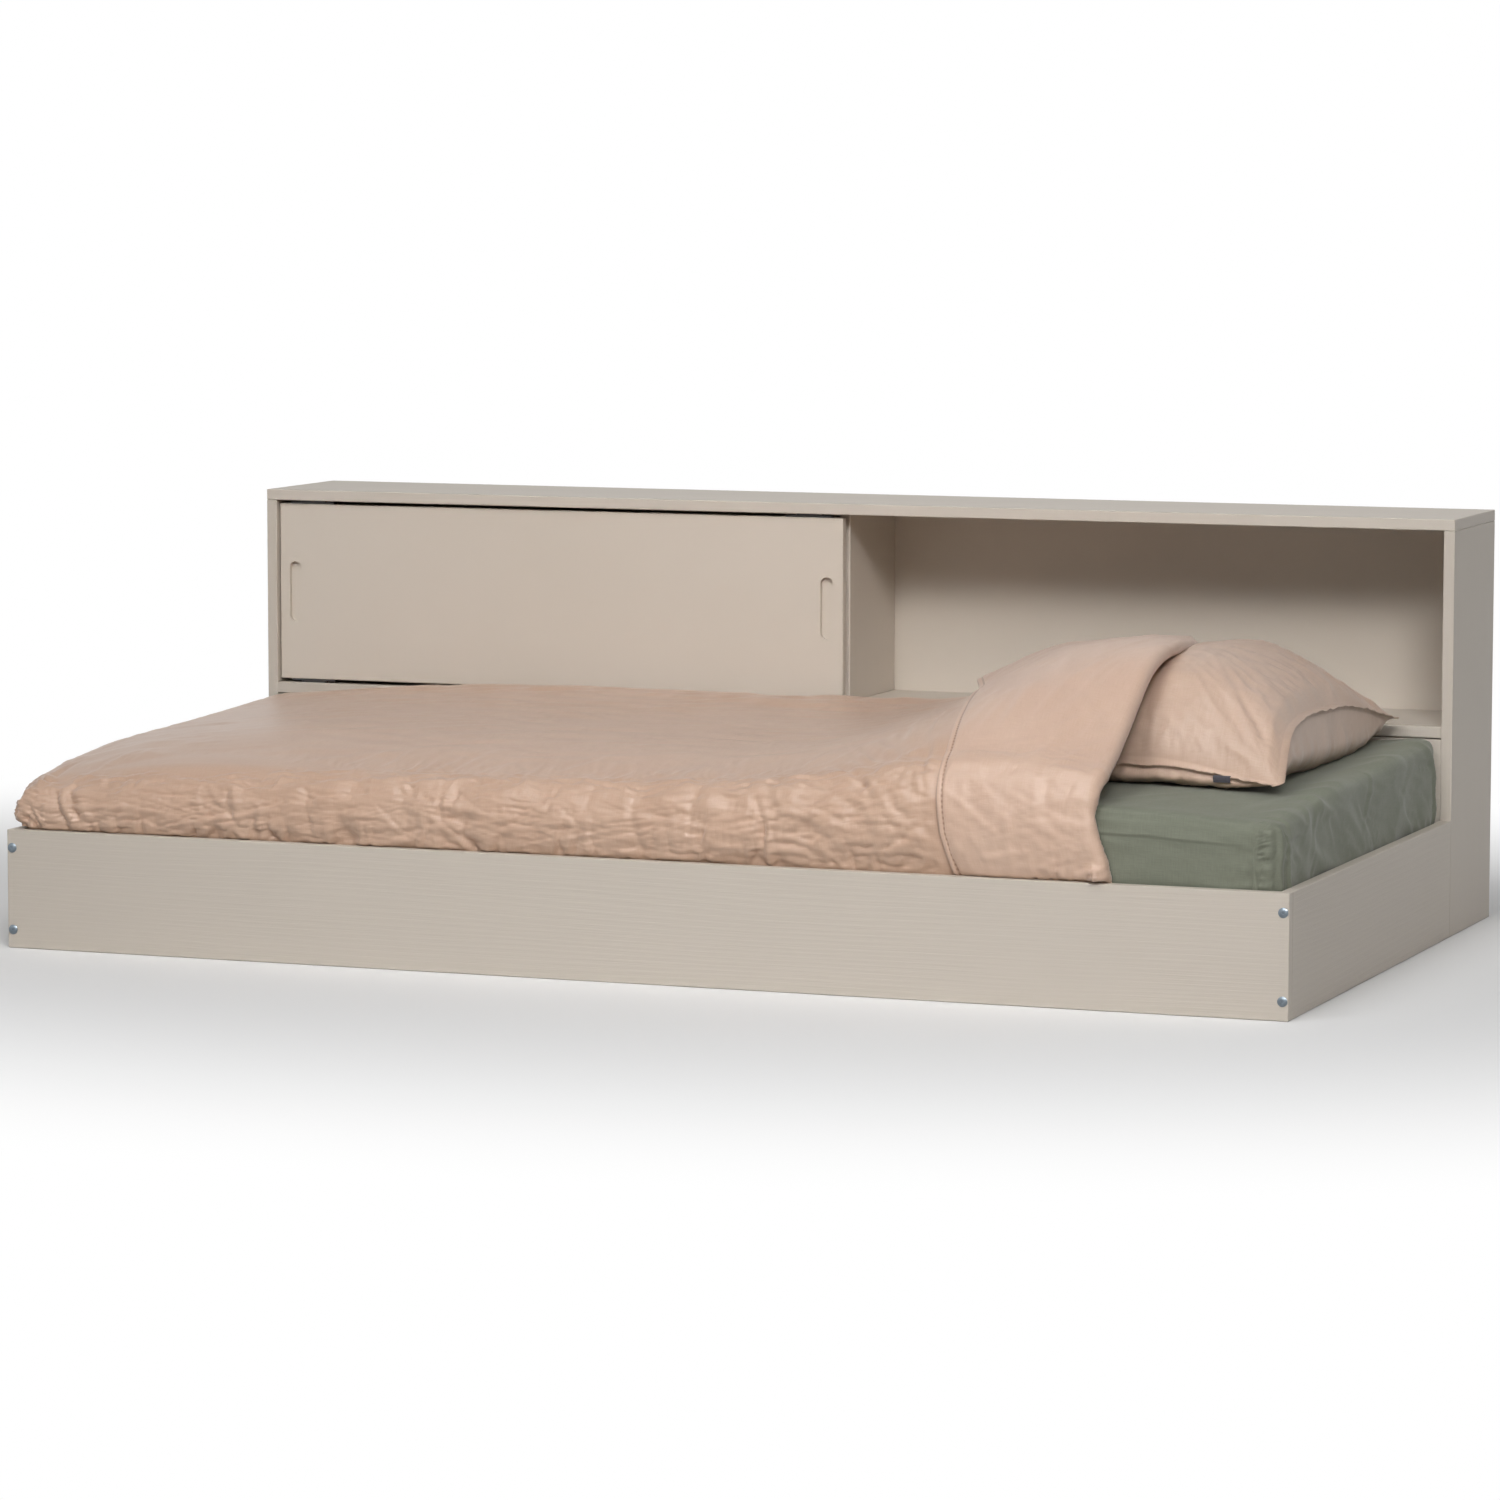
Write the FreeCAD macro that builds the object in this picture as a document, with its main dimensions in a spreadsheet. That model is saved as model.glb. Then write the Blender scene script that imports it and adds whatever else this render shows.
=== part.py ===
import FreeCAD, Part
import math
import os
import re
import Sketcher

# Single bed in a low pine frame, with a long cabinet along its back and one sliding door.
# +X runs towards the head of the bed, +Y towards the wall, +Z up. The origin lies on the
# floor, at the middle of the space that the whole bed takes up. All lengths are millimetres.

SIZES = {
    # Boards
    "board": 18,
    "arris": 1.5,
    "clearance": 0.05,
    "rail_height": 185,
    "cabinet_depth": 260,
    "cabinet_height": 660,
    "shelf_height": 333,
    "shelf_strip_depth": 40,
    "shelf_gap": 2,
    "divider_setback": 36,
    "back_thickness": 6,
    "back_floor_gap": 15,
    "stretcher_height": 80,
    # Mattress, with the play that the frame leaves round it
    "mattress_length": 2000,
    "mattress_width": 896,
    "mattress_thickness": 155,
    "mattress_edge": 40,
    "foot_gap": 18,
    "head_gap": 6,
    "front_gap": 10,
    "wall_gap": 6,
    "sheet_cloth": 1.2,
    "sheet_ease": 0.3,
    "sheet_hem": 80,
    # Slatted base
    "slat_top_height": 145,
    "slat_thickness": 18,
    "slat_width": 70,
    "slat_count": 14,
    "slat_arris": 3,
    "slat_play": 3,
    "batten_height": 40,
    "batten_width": 30,
    "batten_play": 2,
    "tape_width": 22,
    "tape_thickness": 1.5,
    "tape_inset": 150,
    # Bolts and cross dowels of the front corners
    "bolt_radius": 3,
    "bolt_head_radius": 7.5,
    "bolt_head_height": 2.5,
    "bolt_head_rim": 0.8,
    "bolt_length": 66,
    "bolt_low": 28.5,
    "bolt_spacing": 128,
    "bolt_socket_radius": 2.3,
    "bolt_socket_depth": 1.6,
    "bolt_play": 0.5,
    "nut_radius": 5,
    "nut_length": 14,
    "nut_depth": 16,
    "nut_reach": 40,
    # Wooden dowels
    "dowel_radius": 4,
    "dowel_length": 30,
    "dowel_in_face": 11,
    "end_dowel_low": 50,
    "end_dowel_high": 135,
    # Wood screws and the steel angles
    "screw_radius": 2,
    "screw_head_radius": 4,
    "screw_head_height": 2.2,
    "batten_screw_length": 42,
    "batten_screw_count": 6,
    "batten_screw_inset": 120,
    "bracket_leg": 40,
    "bracket_height": 60,
    "bracket_steel": 2,
    "bracket_low": 15,
    "bracket_screw_length": 16,
    "bracket_screw_inset": 15,
    "back_screw_radius": 1.5,
    "back_screw_head_radius": 3,
    "back_screw_head_height": 1.7,
    "back_screw_length": 24,
    "back_screw_count": 5,
    "back_screw_inset": 150,
    # Cam fittings of the cabinet
    "cam_radius": 7.5,
    "cam_height": 12.5,
    "cam_pocket": 13,
    "cam_reach": 34,
    "cam_bolt_radius": 3,
    "cam_bolt_in_face": 11,
    "cam_inset": 50,
    # Sliding door and what it runs on
    "door_thickness": 16,
    "door_recess": 9,
    "door_side_gap": 2,
    "door_low_gap": 6,
    "door_top_gap": 6,
    "door_overlap": 15,
    "door_arris": 2,
    "grip_width": 21,
    "grip_height": 102,
    "grip_depth": 8,
    "grip_inset": 28.5,
    "track_width": 10,
    "track_depth": 9,
    "track_wall": 1,
    "running_gap": 0.3,
    "glide_length": 80,
    "glide_tongue": 44,
    "glide_flange": 3,
    "glide_inset": 60,
    "guide_slack": 2,
    "glide_screw_length": 16,
    "glide_screw_spacing": 62,
    "bumper_radius": 4,
    "bumper_inset": 60,
    # Bedding
    "duvet_thickness": 50,
    "duvet_foot_drop": 75,
    "duvet_edge_radius": 20,
    "duvet_rise": 150,
    "duvet_head_gap": 258,
    "duvet_foot_bulge": 12,
    "duvet_front_bulge": 7,
    "duvet_tail": 35,
    "duvet_ease": 0.4,
    "pillow_ease": 1,
    "duvet_end_gap": 2,
    "cuff_width": 250,
    "cuff_step": 12,
    "pillow_length": 595,
    "pillow_width": 670,
    "pillow_crown": 183,
    "pillow_head_gap": 56,
    "pillow_wall_gap": 19,
    "pillow_drawn_in": 26,
    "pillow_seam_front": 34,
    "pillow_seam_wall": 75,
    "pillow_corner_front": 9,
    "pillow_corner_wall": 46,
    "pillow_seam": 3,
    "tab_width": 26,
    "tab_height": 9,
    "tab_thickness": 1.5,
    "tab_inset": 106,
}

# Places and sizes that follow from the driving ones
PLACES = {
    "inner_length": "mattress_length + foot_gap + head_gap",
    "bed_length": "inner_length + 2 * board",
    "box_depth": "board + front_gap + mattress_width + wall_gap",
    "end_board_length": "box_depth - board",
    "foot_x": "-bed_length / 2",
    "head_x": "bed_length / 2",
    "foot_inner_x": "foot_x + board",
    "head_inner_x": "head_x - board",
    "front_y": "(bolt_head_height - box_depth - cabinet_depth) / 2",
    "rail_back_y": "front_y + board",
    "cabinet_y": "front_y + box_depth",
    "wall_y": "cabinet_y + cabinet_depth",
    "back_panel_y": "wall_y - back_thickness",
    "side_height": "cabinet_height - board",
    "shelf_low": "shelf_height - board",
    "compartment_height": "side_height - shelf_height",
    "strip_back_y": "cabinet_y + shelf_strip_depth",
    "shelf_depth": "back_panel_y - strip_back_y",
    "divider_x": "-board / 2",
    "divider_y": "cabinet_y + divider_setback",
    "stretcher_y": "back_panel_y - board",
    "mattress_x": "foot_inner_x + foot_gap",
    "mattress_y": "rail_back_y + front_gap",
    "mattress_top": "slat_top_height + mattress_thickness",
    "core_inset": "sheet_cloth + sheet_ease",
    "slat_low": "slat_top_height - slat_thickness",
    "slat_length": "end_board_length - 2 * slat_play",
    "batten_low": "slat_low - batten_height",
    "batten_length": "inner_length - 2 * batten_play",
    "door_y": "cabinet_y + door_recess",
    "door_width": "inner_length / 2 - board / 2 + door_overlap - door_side_gap",
    "door_height": "compartment_height - door_low_gap - door_top_gap",
    "door_low": "shelf_height + door_low_gap",
    "track_y": "door_y + door_thickness / 2 - track_width / 2",
    "channel": "track_width - 2 * track_wall",
    "glide_width": "channel - 2 * running_gap",
}


def in_cells(formula):
    """The formula with each size named by the sheet that holds it."""
    def cell(match):
        word = match.group(0)
        if word in SIZES:
            return "dim." + word
        if word in PLACES:
            return "lay." + word
        return word
    return re.sub(r"[a-z][a-z_]*", cell, str(formula))


doc = FreeCAD.newDocument("StorageBed")

dim = doc.addObject("Spreadsheet::Sheet", "dim")
for row, (alias, number) in enumerate(SIZES.items(), start=1):
    dim.set("A%d" % row, alias)
    dim.set("B%d" % row, str(number))
    dim.setAlias("B%d" % row, alias)
doc.recompute()

lay = doc.addObject("Spreadsheet::Sheet", "lay")
for row, (alias, formula) in enumerate(PLACES.items(), start=1):
    lay.set("A%d" % row, alias)
    lay.set("B%d" % row, "=" + in_cells(formula).replace("lay.", ""))
    lay.setAlias("B%d" % row, alias)
doc.recompute()


def size(word):
    """The value of one named size, in millimetres."""
    return float(dim.get(word) if word in SIZES else lay.get(word))


parts = {}
cutters = {}


def bind(thing, prop, formula):
    thing.setExpression(prop, in_cells(formula))


def place(thing, corner):
    for axis, formula in zip("xyz", corner):
        bind(thing, "Placement.Base." + axis, formula)


def keep(name, thing):
    """Make this document object the sub-part of that name."""
    thing.Label = name
    parts[name] = thing
    return thing


def origin_plane(body, role):
    return [plane for plane in body.Origin.OriginFeatures if plane.Role == role][0]


def rectangle(body, name, plane, width, height):
    """A sketched rectangle with one corner on the body's origin."""
    sketch = body.newObject("Sketcher::SketchObject", name)
    sketch.AttachmentSupport = [(origin_plane(body, plane), "")]
    sketch.MapMode = "FlatFace"
    corners = [FreeCAD.Vector(0, 0, 0), FreeCAD.Vector(size("board"), 0, 0),
               FreeCAD.Vector(size("board"), size("board"), 0), FreeCAD.Vector(0, size("board"), 0)]
    for index, corner in enumerate(corners):
        sketch.addGeometry(Part.LineSegment(corner, corners[(index + 1) % 4]), False)
    for index in range(4):
        sketch.addConstraint(Sketcher.Constraint("Coincident", index, 2, (index + 1) % 4, 1))
    for index, direction in enumerate(["Horizontal", "Vertical"] * 2):
        sketch.addConstraint(Sketcher.Constraint(direction, index))
    sketch.addConstraint(Sketcher.Constraint("Coincident", 0, 1, -1, 1))
    across = sketch.addConstraint(Sketcher.Constraint("DistanceX", 0, 1, 0, 2, size("board")))
    up = sketch.addConstraint(Sketcher.Constraint("DistanceY", 1, 1, 1, 2, size("board")))
    sketch.renameConstraint(across, "across")
    sketch.renameConstraint(up, "up")
    bind(sketch, "Constraints.across", width)
    bind(sketch, "Constraints.up", height)
    return sketch


def rounded_block(name, corner, extent, radius):
    """A block with all its edges eased to the radius."""
    body = doc.addObject("PartDesign::Body", name)
    sketch = rectangle(body, name + "_outline", "XY_Plane", extent[0], extent[1])
    pad = body.newObject("PartDesign::Pad", name + "_pad")
    pad.Profile = sketch
    bind(pad, "Length", extent[2])
    sketch.Visibility = False
    doc.recompute()
    ease = body.newObject("PartDesign::Fillet", name + "_ease")
    ease.Base = (pad, [])
    ease.UseAllEdges = True
    bind(ease, "Radius", radius)
    body.Tip = ease
    place(body, corner)
    return body


TURNS = {
    "x": FreeCAD.Rotation(FreeCAD.Vector(0, 1, 0), 90),
    "-x": FreeCAD.Rotation(FreeCAD.Vector(0, 1, 0), -90),
    "y": FreeCAD.Rotation(FreeCAD.Vector(1, 0, 0), -90),
    "-y": FreeCAD.Rotation(FreeCAD.Vector(1, 0, 0), 90),
    "z": FreeCAD.Rotation(),
    "-z": FreeCAD.Rotation(FreeCAD.Vector(1, 0, 0), 180),
}


def box(name, corner, extent):
    thing = doc.addObject("Part::Box", name)
    for prop, formula in zip(("Length", "Width", "Height"), extent):
        bind(thing, prop, formula)
    place(thing, corner)
    return thing


def rod(name, way, start, radius, length):
    """A cylinder from the start point along one of the six directions."""
    thing = doc.addObject("Part::Cylinder", name)
    thing.Placement.Rotation = TURNS[way]
    bind(thing, "Radius", radius)
    bind(thing, "Height", length)
    place(thing, start)
    return thing


def cone(name, way, start, first_radius, last_radius, length):
    thing = doc.addObject("Part::Cone", name)
    thing.Placement.Rotation = TURNS[way]
    bind(thing, "Radius1", first_radius)
    bind(thing, "Radius2", last_radius)
    bind(thing, "Height", length)
    place(thing, start)
    return thing


def along(point, way, amount):
    """The point moved by the amount along one of the six directions."""
    moved = list(point)
    axis = "xyz".index(way[-1])
    sign = "-" if way[0] == "-" else "+"
    moved[axis] = "(%s) %s (%s)" % (point[axis], sign, amount)
    return tuple(moved)


def opposite(way):
    return way[-1] if way[0] == "-" else "-" + way


def fuse(name, shapes):
    thing = doc.addObject("Part::MultiFuse", name)
    thing.Shapes = shapes
    return thing


def cut(name, base, tools):
    if len(tools) > 1:
        tool = doc.addObject("Part::Compound", name + "_tools")
        tool.Links = tools
    else:
        tool = tools[0]
    thing = doc.addObject("Part::Cut", name)
    thing.Base = base
    thing.Tool = tool
    return thing


def group(name, members):
    thing = doc.addObject("Part::Compound", name)
    thing.Links = members
    return keep(name, thing)


def bored(boards, tool):
    """Let the tool cut each of the boards named."""
    for board in boards:
        cutters.setdefault(board, []).append(tool)


# Boards of the bed box: a rail in front, an end board at each end, all on edge on the floor.
# The rail covers the end boards' ends. Their other ends butt on the cabinet's sides.
blanks = {}
blanks["front_rail"] = rounded_block(
    "rail_blank", ("foot_x", "front_y", 0), ("bed_length", "board", "rail_height"), "arris")
blanks["end_board_left"] = rounded_block(
    "left_blank", ("foot_x", "rail_back_y", 0), ("board", "end_board_length", "rail_height"), "arris")
blanks["end_board_right"] = rounded_block(
    "right_blank", ("head_inner_x", "rail_back_y", 0),
    ("board", "end_board_length", "rail_height"), "arris")

# Boards of the cabinet. The top lies on both sides; everything else stands between them.
blanks["cabinet_side_left"] = rounded_block(
    "side_left_blank", ("foot_x", "cabinet_y", 0), ("board", "cabinet_depth", "side_height"), "arris")
blanks["cabinet_side_right"] = rounded_block(
    "side_right_blank", ("head_inner_x", "cabinet_y", 0),
    ("board", "cabinet_depth", "side_height"), "arris")
blanks["cabinet_top"] = rounded_block(
    "top_blank", ("foot_x", "cabinet_y", "side_height"), ("bed_length", "cabinet_depth", "board"), "arris")
blanks["cabinet_shelf"] = rounded_block(
    "shelf_blank", ("foot_inner_x", "strip_back_y", "shelf_low"),
    ("inner_length", "shelf_depth", "board"), "arris")
blanks["shelf_front_rail"] = rounded_block(
    "strip_blank", ("foot_inner_x", "cabinet_y", "shelf_low"),
    ("inner_length", "shelf_strip_depth", "board"), "arris")
blanks["cabinet_divider"] = rounded_block(
    "divider_blank", ("divider_x", "divider_y", "shelf_height"),
    ("board", "back_panel_y - divider_y", "compartment_height"), "arris")
blanks["lower_panel"] = rounded_block(
    "lower_blank", ("foot_inner_x", "cabinet_y", 0),
    ("inner_length", "board", "shelf_low - shelf_gap"), "arris")
blanks["lower_divider"] = rounded_block(
    "lower_divider_blank", ("divider_x", "cabinet_y + board", 0),
    ("board", "stretcher_y - cabinet_y - board", "shelf_low"), "arris")
blanks["rear_stretcher"] = rounded_block(
    "stretcher_blank", ("foot_inner_x", "stretcher_y", 0),
    ("inner_length", "board", "stretcher_height"), "arris")
blanks["back_panel"] = box(
    "back_blank", ("foot_inner_x", "back_panel_y", "back_floor_gap"),
    ("inner_length", "back_thickness", "side_height - back_floor_gap"))

# Two long battens carry the slats, one on the rail and one on the lower panel
blanks["slat_batten_front"] = rounded_block(
    "batten_front_blank", ("foot_inner_x + batten_play", "rail_back_y", "batten_low"),
    ("batten_length", "batten_width", "batten_height"), "arris")
blanks["slat_batten_back"] = rounded_block(
    "batten_back_blank", ("foot_inner_x + batten_play", "cabinet_y - batten_width", "batten_low"),
    ("batten_length", "batten_width", "batten_height"), "arris")

# Slats: one slat, repeated along the mattress, with its edges eased
slats = doc.addObject("PartDesign::Body", "slats")
slats.AllowCompound = True
slat_outline = rectangle(slats, "slat_outline", "XY_Plane", "slat_width", "slat_length")
slat_pad = slats.newObject("PartDesign::Pad", "slat_pad")
slat_pad.Profile = slat_outline
bind(slat_pad, "Length", "slat_thickness")
doc.recompute()
slat_row = slats.newObject("PartDesign::LinearPattern", "slat_row")
slat_row.Originals = [slat_pad]
slat_row.Direction = (origin_plane(slats, "X_Axis"), [""])
bind(slat_row, "Length", "mattress_length - slat_width")
bind(slat_row, "Occurrences", "slat_count")
slats.Tip = slat_row
doc.recompute()
slat_ease = slats.newObject("PartDesign::Fillet", "slat_ease")
slat_ease.Base = (slat_row, [])
slat_ease.UseAllEdges = True
bind(slat_ease, "Radius", "slat_arris")
slats.Tip = slat_ease
place(slats, ("mattress_x", "rail_back_y + slat_play", "slat_low"))
keep("bed_slats", slats)

# Two webbing tapes under the slats keep them at their pitch
tapes = []
for index, tape_y in enumerate(("rail_back_y + tape_inset", "cabinet_y - tape_inset - tape_width")):
    tapes.append(box("tape_%d" % index, ("mattress_x", tape_y, "slat_low - tape_thickness"),
                     ("mattress_length", "tape_width", "tape_thickness")))
group("slat_tapes", tapes)


def rail_bolt(name, x, z):
    """A button-head bolt with a hexagon socket, turned from one profile."""
    body = doc.addObject("PartDesign::Body", name + "_blank")
    profile = body.newObject("Sketcher::SketchObject", name + "_profile")
    profile.AttachmentSupport = [(origin_plane(body, "XY_Plane"), "")]
    profile.MapMode = "FlatFace"
    head, rim, top = size("bolt_head_radius"), size("bolt_head_rim"), size("bolt_head_height")
    shank, length = size("bolt_radius"), size("bolt_length")
    corners = [(0, -top), (shank, -top), (head, -rim), (head, 0), (shank, 0), (shank, length), (0, length)]
    points = [FreeCAD.Vector(across, away, 0) for across, away in corners]
    crown_share = 3 / 4
    middle = FreeCAD.Vector((shank + head) / 2, -rim - (top - rim) * crown_share, 0)
    for index, point in enumerate(points):
        following = points[(index + 1) % len(points)]
        curve = Part.Arc(point, middle, following) if index == 1 else Part.LineSegment(point, following)
        profile.addGeometry(curve, False)
    swapped = profile.Geometry[1].StartPoint.distanceToPoint(points[1]) > size("clearance")
    arc_first, arc_last = (2, 1) if swapped else (1, 2)
    for index in range(len(points)):
        following = (index + 1) % len(points)
        ends = (arc_last if index == 1 else 2, arc_first if following == 1 else 1)
        profile.addConstraint(Sketcher.Constraint("Coincident", index, ends[0], following, ends[1]))
    for index, direction in ((0, "Horizontal"), (2, "Vertical"), (3, "Horizontal"), (4, "Vertical"),
                             (5, "Horizontal"), (6, "Vertical")):
        profile.addConstraint(Sketcher.Constraint(direction, index))
    profile.addConstraint(Sketcher.Constraint("PointOnObject", 0, 1, -2))
    profile.addConstraint(Sketcher.Constraint("PointOnObject", 3, 1, -1))
    limits = [("head", "DistanceX", (-1, 1, 2, 1), "bolt_head_radius", head),
              ("rim", "DistanceY", (2, 1, 2, 2), "bolt_head_rim", rim),
              ("top", "DistanceY", (0, 1, -1, 1), "bolt_head_height", top),
              ("flat", "DistanceX", (-1, 1, 0, 2), "bolt_radius", shank),
              ("shank", "DistanceX", (-1, 1, 4, 1), "bolt_radius", shank),
              ("shaft", "DistanceY", (4, 1, 4, 2), "bolt_length", length)]
    for label, kind, ends, word, number in limits:
        made = profile.addConstraint(Sketcher.Constraint(kind, *ends, number))
        profile.renameConstraint(made, label)
        bind(profile, "Constraints." + label, word)
    doc.recompute()
    turned = body.newObject("PartDesign::Revolution", name + "_turned")
    turned.Profile = profile
    turned.ReferenceAxis = (profile, ["V_Axis"])
    turned.Angle = 360
    body.Tip = turned
    place(body, (x, "front_y", z))
    socket = doc.addObject("Part::Prism", name + "_socket")
    socket.Polygon = 6
    socket.Placement.Rotation = TURNS["y"]
    bind(socket, "Circumradius", "bolt_socket_radius")
    bind(socket, "Height", "bolt_socket_depth")
    place(socket, (x, "front_y - bolt_head_height", z))
    return cut(name, body, [socket])


# Front corners: two bolts through the rail into each end board, where a cross dowel holds them,
# and one wooden dowel between them
bolts = []
nuts = []
rail_dowels = []
for end, middle_x, nut_way, inner_x in (("left", "foot_x + board / 2", "-x", "foot_inner_x"),
                                        ("right", "head_x - board / 2", "x", "head_inner_x")):
    end_board = "end_board_" + end
    for level, z in (("low", "bolt_low"), ("high", "bolt_low + bolt_spacing")):
        name = "bolt_%s_%s" % (end, level)
        bolts.append(rail_bolt(name, middle_x, z))
        bored(["front_rail", end_board],
              rod(name + "_bore", "y", (middle_x, "front_y", z), "bolt_radius + bolt_play",
                  "bolt_length + bolt_play"))
        nut_y = "rail_back_y + nut_reach"
        nut_start = along((inner_x, nut_y, z), nut_way, "nut_depth - nut_length")
        nut = rod(name + "_nut", nut_way, nut_start, "nut_radius", "nut_length")
        thread = rod(name + "_thread", "y", (middle_x, "rail_back_y", z), "bolt_radius + clearance",
                     "bolt_length")
        nuts.append(cut(name + "_nut_bored", nut, [thread]))
        bored([end_board], rod(name + "_nut_bore", nut_way, (inner_x, nut_y, z),
                               "nut_radius + clearance", "nut_depth"))
    dowel_start = (middle_x, "rail_back_y - dowel_in_face", "bolt_low + bolt_spacing / 2")
    rail_dowels.append(rod("front_dowel_" + end, "y", dowel_start, "dowel_radius", "dowel_length"))
    bored(["front_rail", end_board],
          rod("front_dowel_bore_" + end, "y", dowel_start, "dowel_radius + clearance", "dowel_length"))
    for level in ("end_dowel_low", "end_dowel_high"):
        start = (middle_x, "cabinet_y - dowel_length / 2", level)
        rail_dowels.append(rod("%s_%s" % (level, end), "y", start, "dowel_radius", "dowel_length"))
        bored([end_board, "cabinet_side_" + end],
              rod("%s_bore_%s" % (level, end), "y", start, "dowel_radius + clearance", "dowel_length"))
group("rail_bolts", bolts)
group("barrel_nuts", nuts)
group("rail_dowels", rail_dowels)


def screw(name, way, start, boards, radius, head_radius, head_height, length):
    """A countersunk screw with its head flush at the start, and its hole in the boards."""
    head = cone(name + "_head", way, start, head_radius, radius, head_height)
    shank = rod(name + "_shank", way, start, radius, length)
    sink = cone(name + "_sink", way, start, head_radius + " + clearance", radius + " + clearance",
                head_height)
    bore = rod(name + "_bore", way, start, radius + " + clearance", length + " + clearance")
    bored(boards[:1], sink)
    bored(boards, bore)
    return fuse(name, [head, shank])


# Screws through the battens
batten_screws = []
for side, way, start_y, carrier in (
        ("front", "-y", "rail_back_y + batten_width", "front_rail"),
        ("back", "y", "cabinet_y - batten_width", "lower_panel")):
    for index in range(SIZES["batten_screw_count"]):
        step = "(inner_length - 2 * batten_screw_inset) / (batten_screw_count - 1)"
        x = "foot_inner_x + batten_screw_inset + %d * %s" % (index, step)
        batten_screws.append(screw(
            "batten_screw_%s_%d" % (side, index), way, (x, start_y, "batten_low + batten_height / 2"),
            ["slat_batten_" + side, carrier], "screw_radius", "screw_head_radius",
            "screw_head_height", "batten_screw_length"))
group("batten_screws", batten_screws)

# Steel angles hold the end boards against the lower panel, below the battens
brackets = []
bracket_screws = []
for end, x, inner_x, into_board, into_bed in (
        ("left", "foot_inner_x", "foot_inner_x + bracket_steel", "-x", "x"),
        ("right", "head_inner_x - bracket_leg", "head_inner_x - bracket_leg", "x", "-x")):
    outer = box("bracket_%s_outer" % end, (x, "cabinet_y - bracket_leg", "bracket_low"),
                ("bracket_leg", "bracket_leg", "bracket_height"))
    hollow = box("bracket_%s_hollow" % end, (inner_x, "cabinet_y - bracket_leg", "bracket_low"),
                 ("bracket_leg - bracket_steel", "bracket_leg - bracket_steel", "bracket_height"))
    board_face = ("foot_inner_x" if end == "left" else "head_inner_x", 0, 0)
    face_x = along(board_face, into_bed, "bracket_steel")[0]
    leg_x = along(board_face, into_bed, "bracket_leg - bracket_screw_inset")[0]
    blanks["bracket_" + end] = cut("bracket_%s_blank" % end, outer, [hollow])
    for level, z in (("low", "bracket_low + bracket_screw_inset"),
                     ("high", "bracket_low + bracket_height - bracket_screw_inset")):
        start = (face_x, "cabinet_y - bracket_leg + bracket_screw_inset", z)
        bracket_screws.append(screw(
            "bracket_screw_%s_%s_end" % (end, level), into_board, start,
            ["bracket_" + end, "end_board_" + end], "screw_radius", "screw_head_radius",
            "bracket_steel", "bracket_screw_length"))
        start = (leg_x, "cabinet_y - bracket_steel", z)
        bracket_screws.append(screw(
            "bracket_screw_%s_%s_panel" % (end, level), "y", start,
            ["bracket_" + end, "lower_panel"], "screw_radius", "screw_head_radius",
            "bracket_steel", "bracket_screw_length"))
group("bracket_screws", bracket_screws)

cams = []
cam_bolts = []


def cam_joint(name, joint, way, opening, face_board, edge_board):
    """A bolt from the face board runs into the edge board, where a cam grips its end.

    joint is where the bolt crosses the face; way points from it into the edge board, and
    opening is the way that the cam's mouth faces.
    """
    start = along(joint, opposite(way), "cam_bolt_in_face")
    full = "cam_bolt_in_face + cam_reach"
    cam_bolts.append(rod(name + "_bolt", way, start, "cam_bolt_radius", full))
    bored([face_board, edge_board],
          rod(name + "_bore", way, start, "cam_bolt_radius + clearance", full + " + clearance"))
    mouth = along(along(joint, way, "cam_reach"), opening, "board / 2")
    inward = opposite(opening)
    housing = rod(name + "_housing", inward, mouth, "cam_radius", "cam_height")
    bolt_space = rod(name + "_space", way, joint, "cam_bolt_radius + clearance",
                     "cam_reach + clearance")
    cams.append(cut(name + "_cam", housing, [bolt_space]))
    bored([edge_board], rod(name + "_pocket", inward, mouth, "cam_radius + clearance", "cam_pocket"))


cabinet_dowels = []


def dowel_joint(name, joint, way, face_board, edge_board):
    """A glued dowel across the joint, with dowel_in_face of it in the face board."""
    start = along(joint, opposite(way), "dowel_in_face")
    cabinet_dowels.append(rod(name, way, start, "dowel_radius", "dowel_length"))
    bored([face_board, edge_board],
          rod(name + "_bore", way, start, "dowel_radius + clearance", "dowel_length + clearance"))


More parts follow.
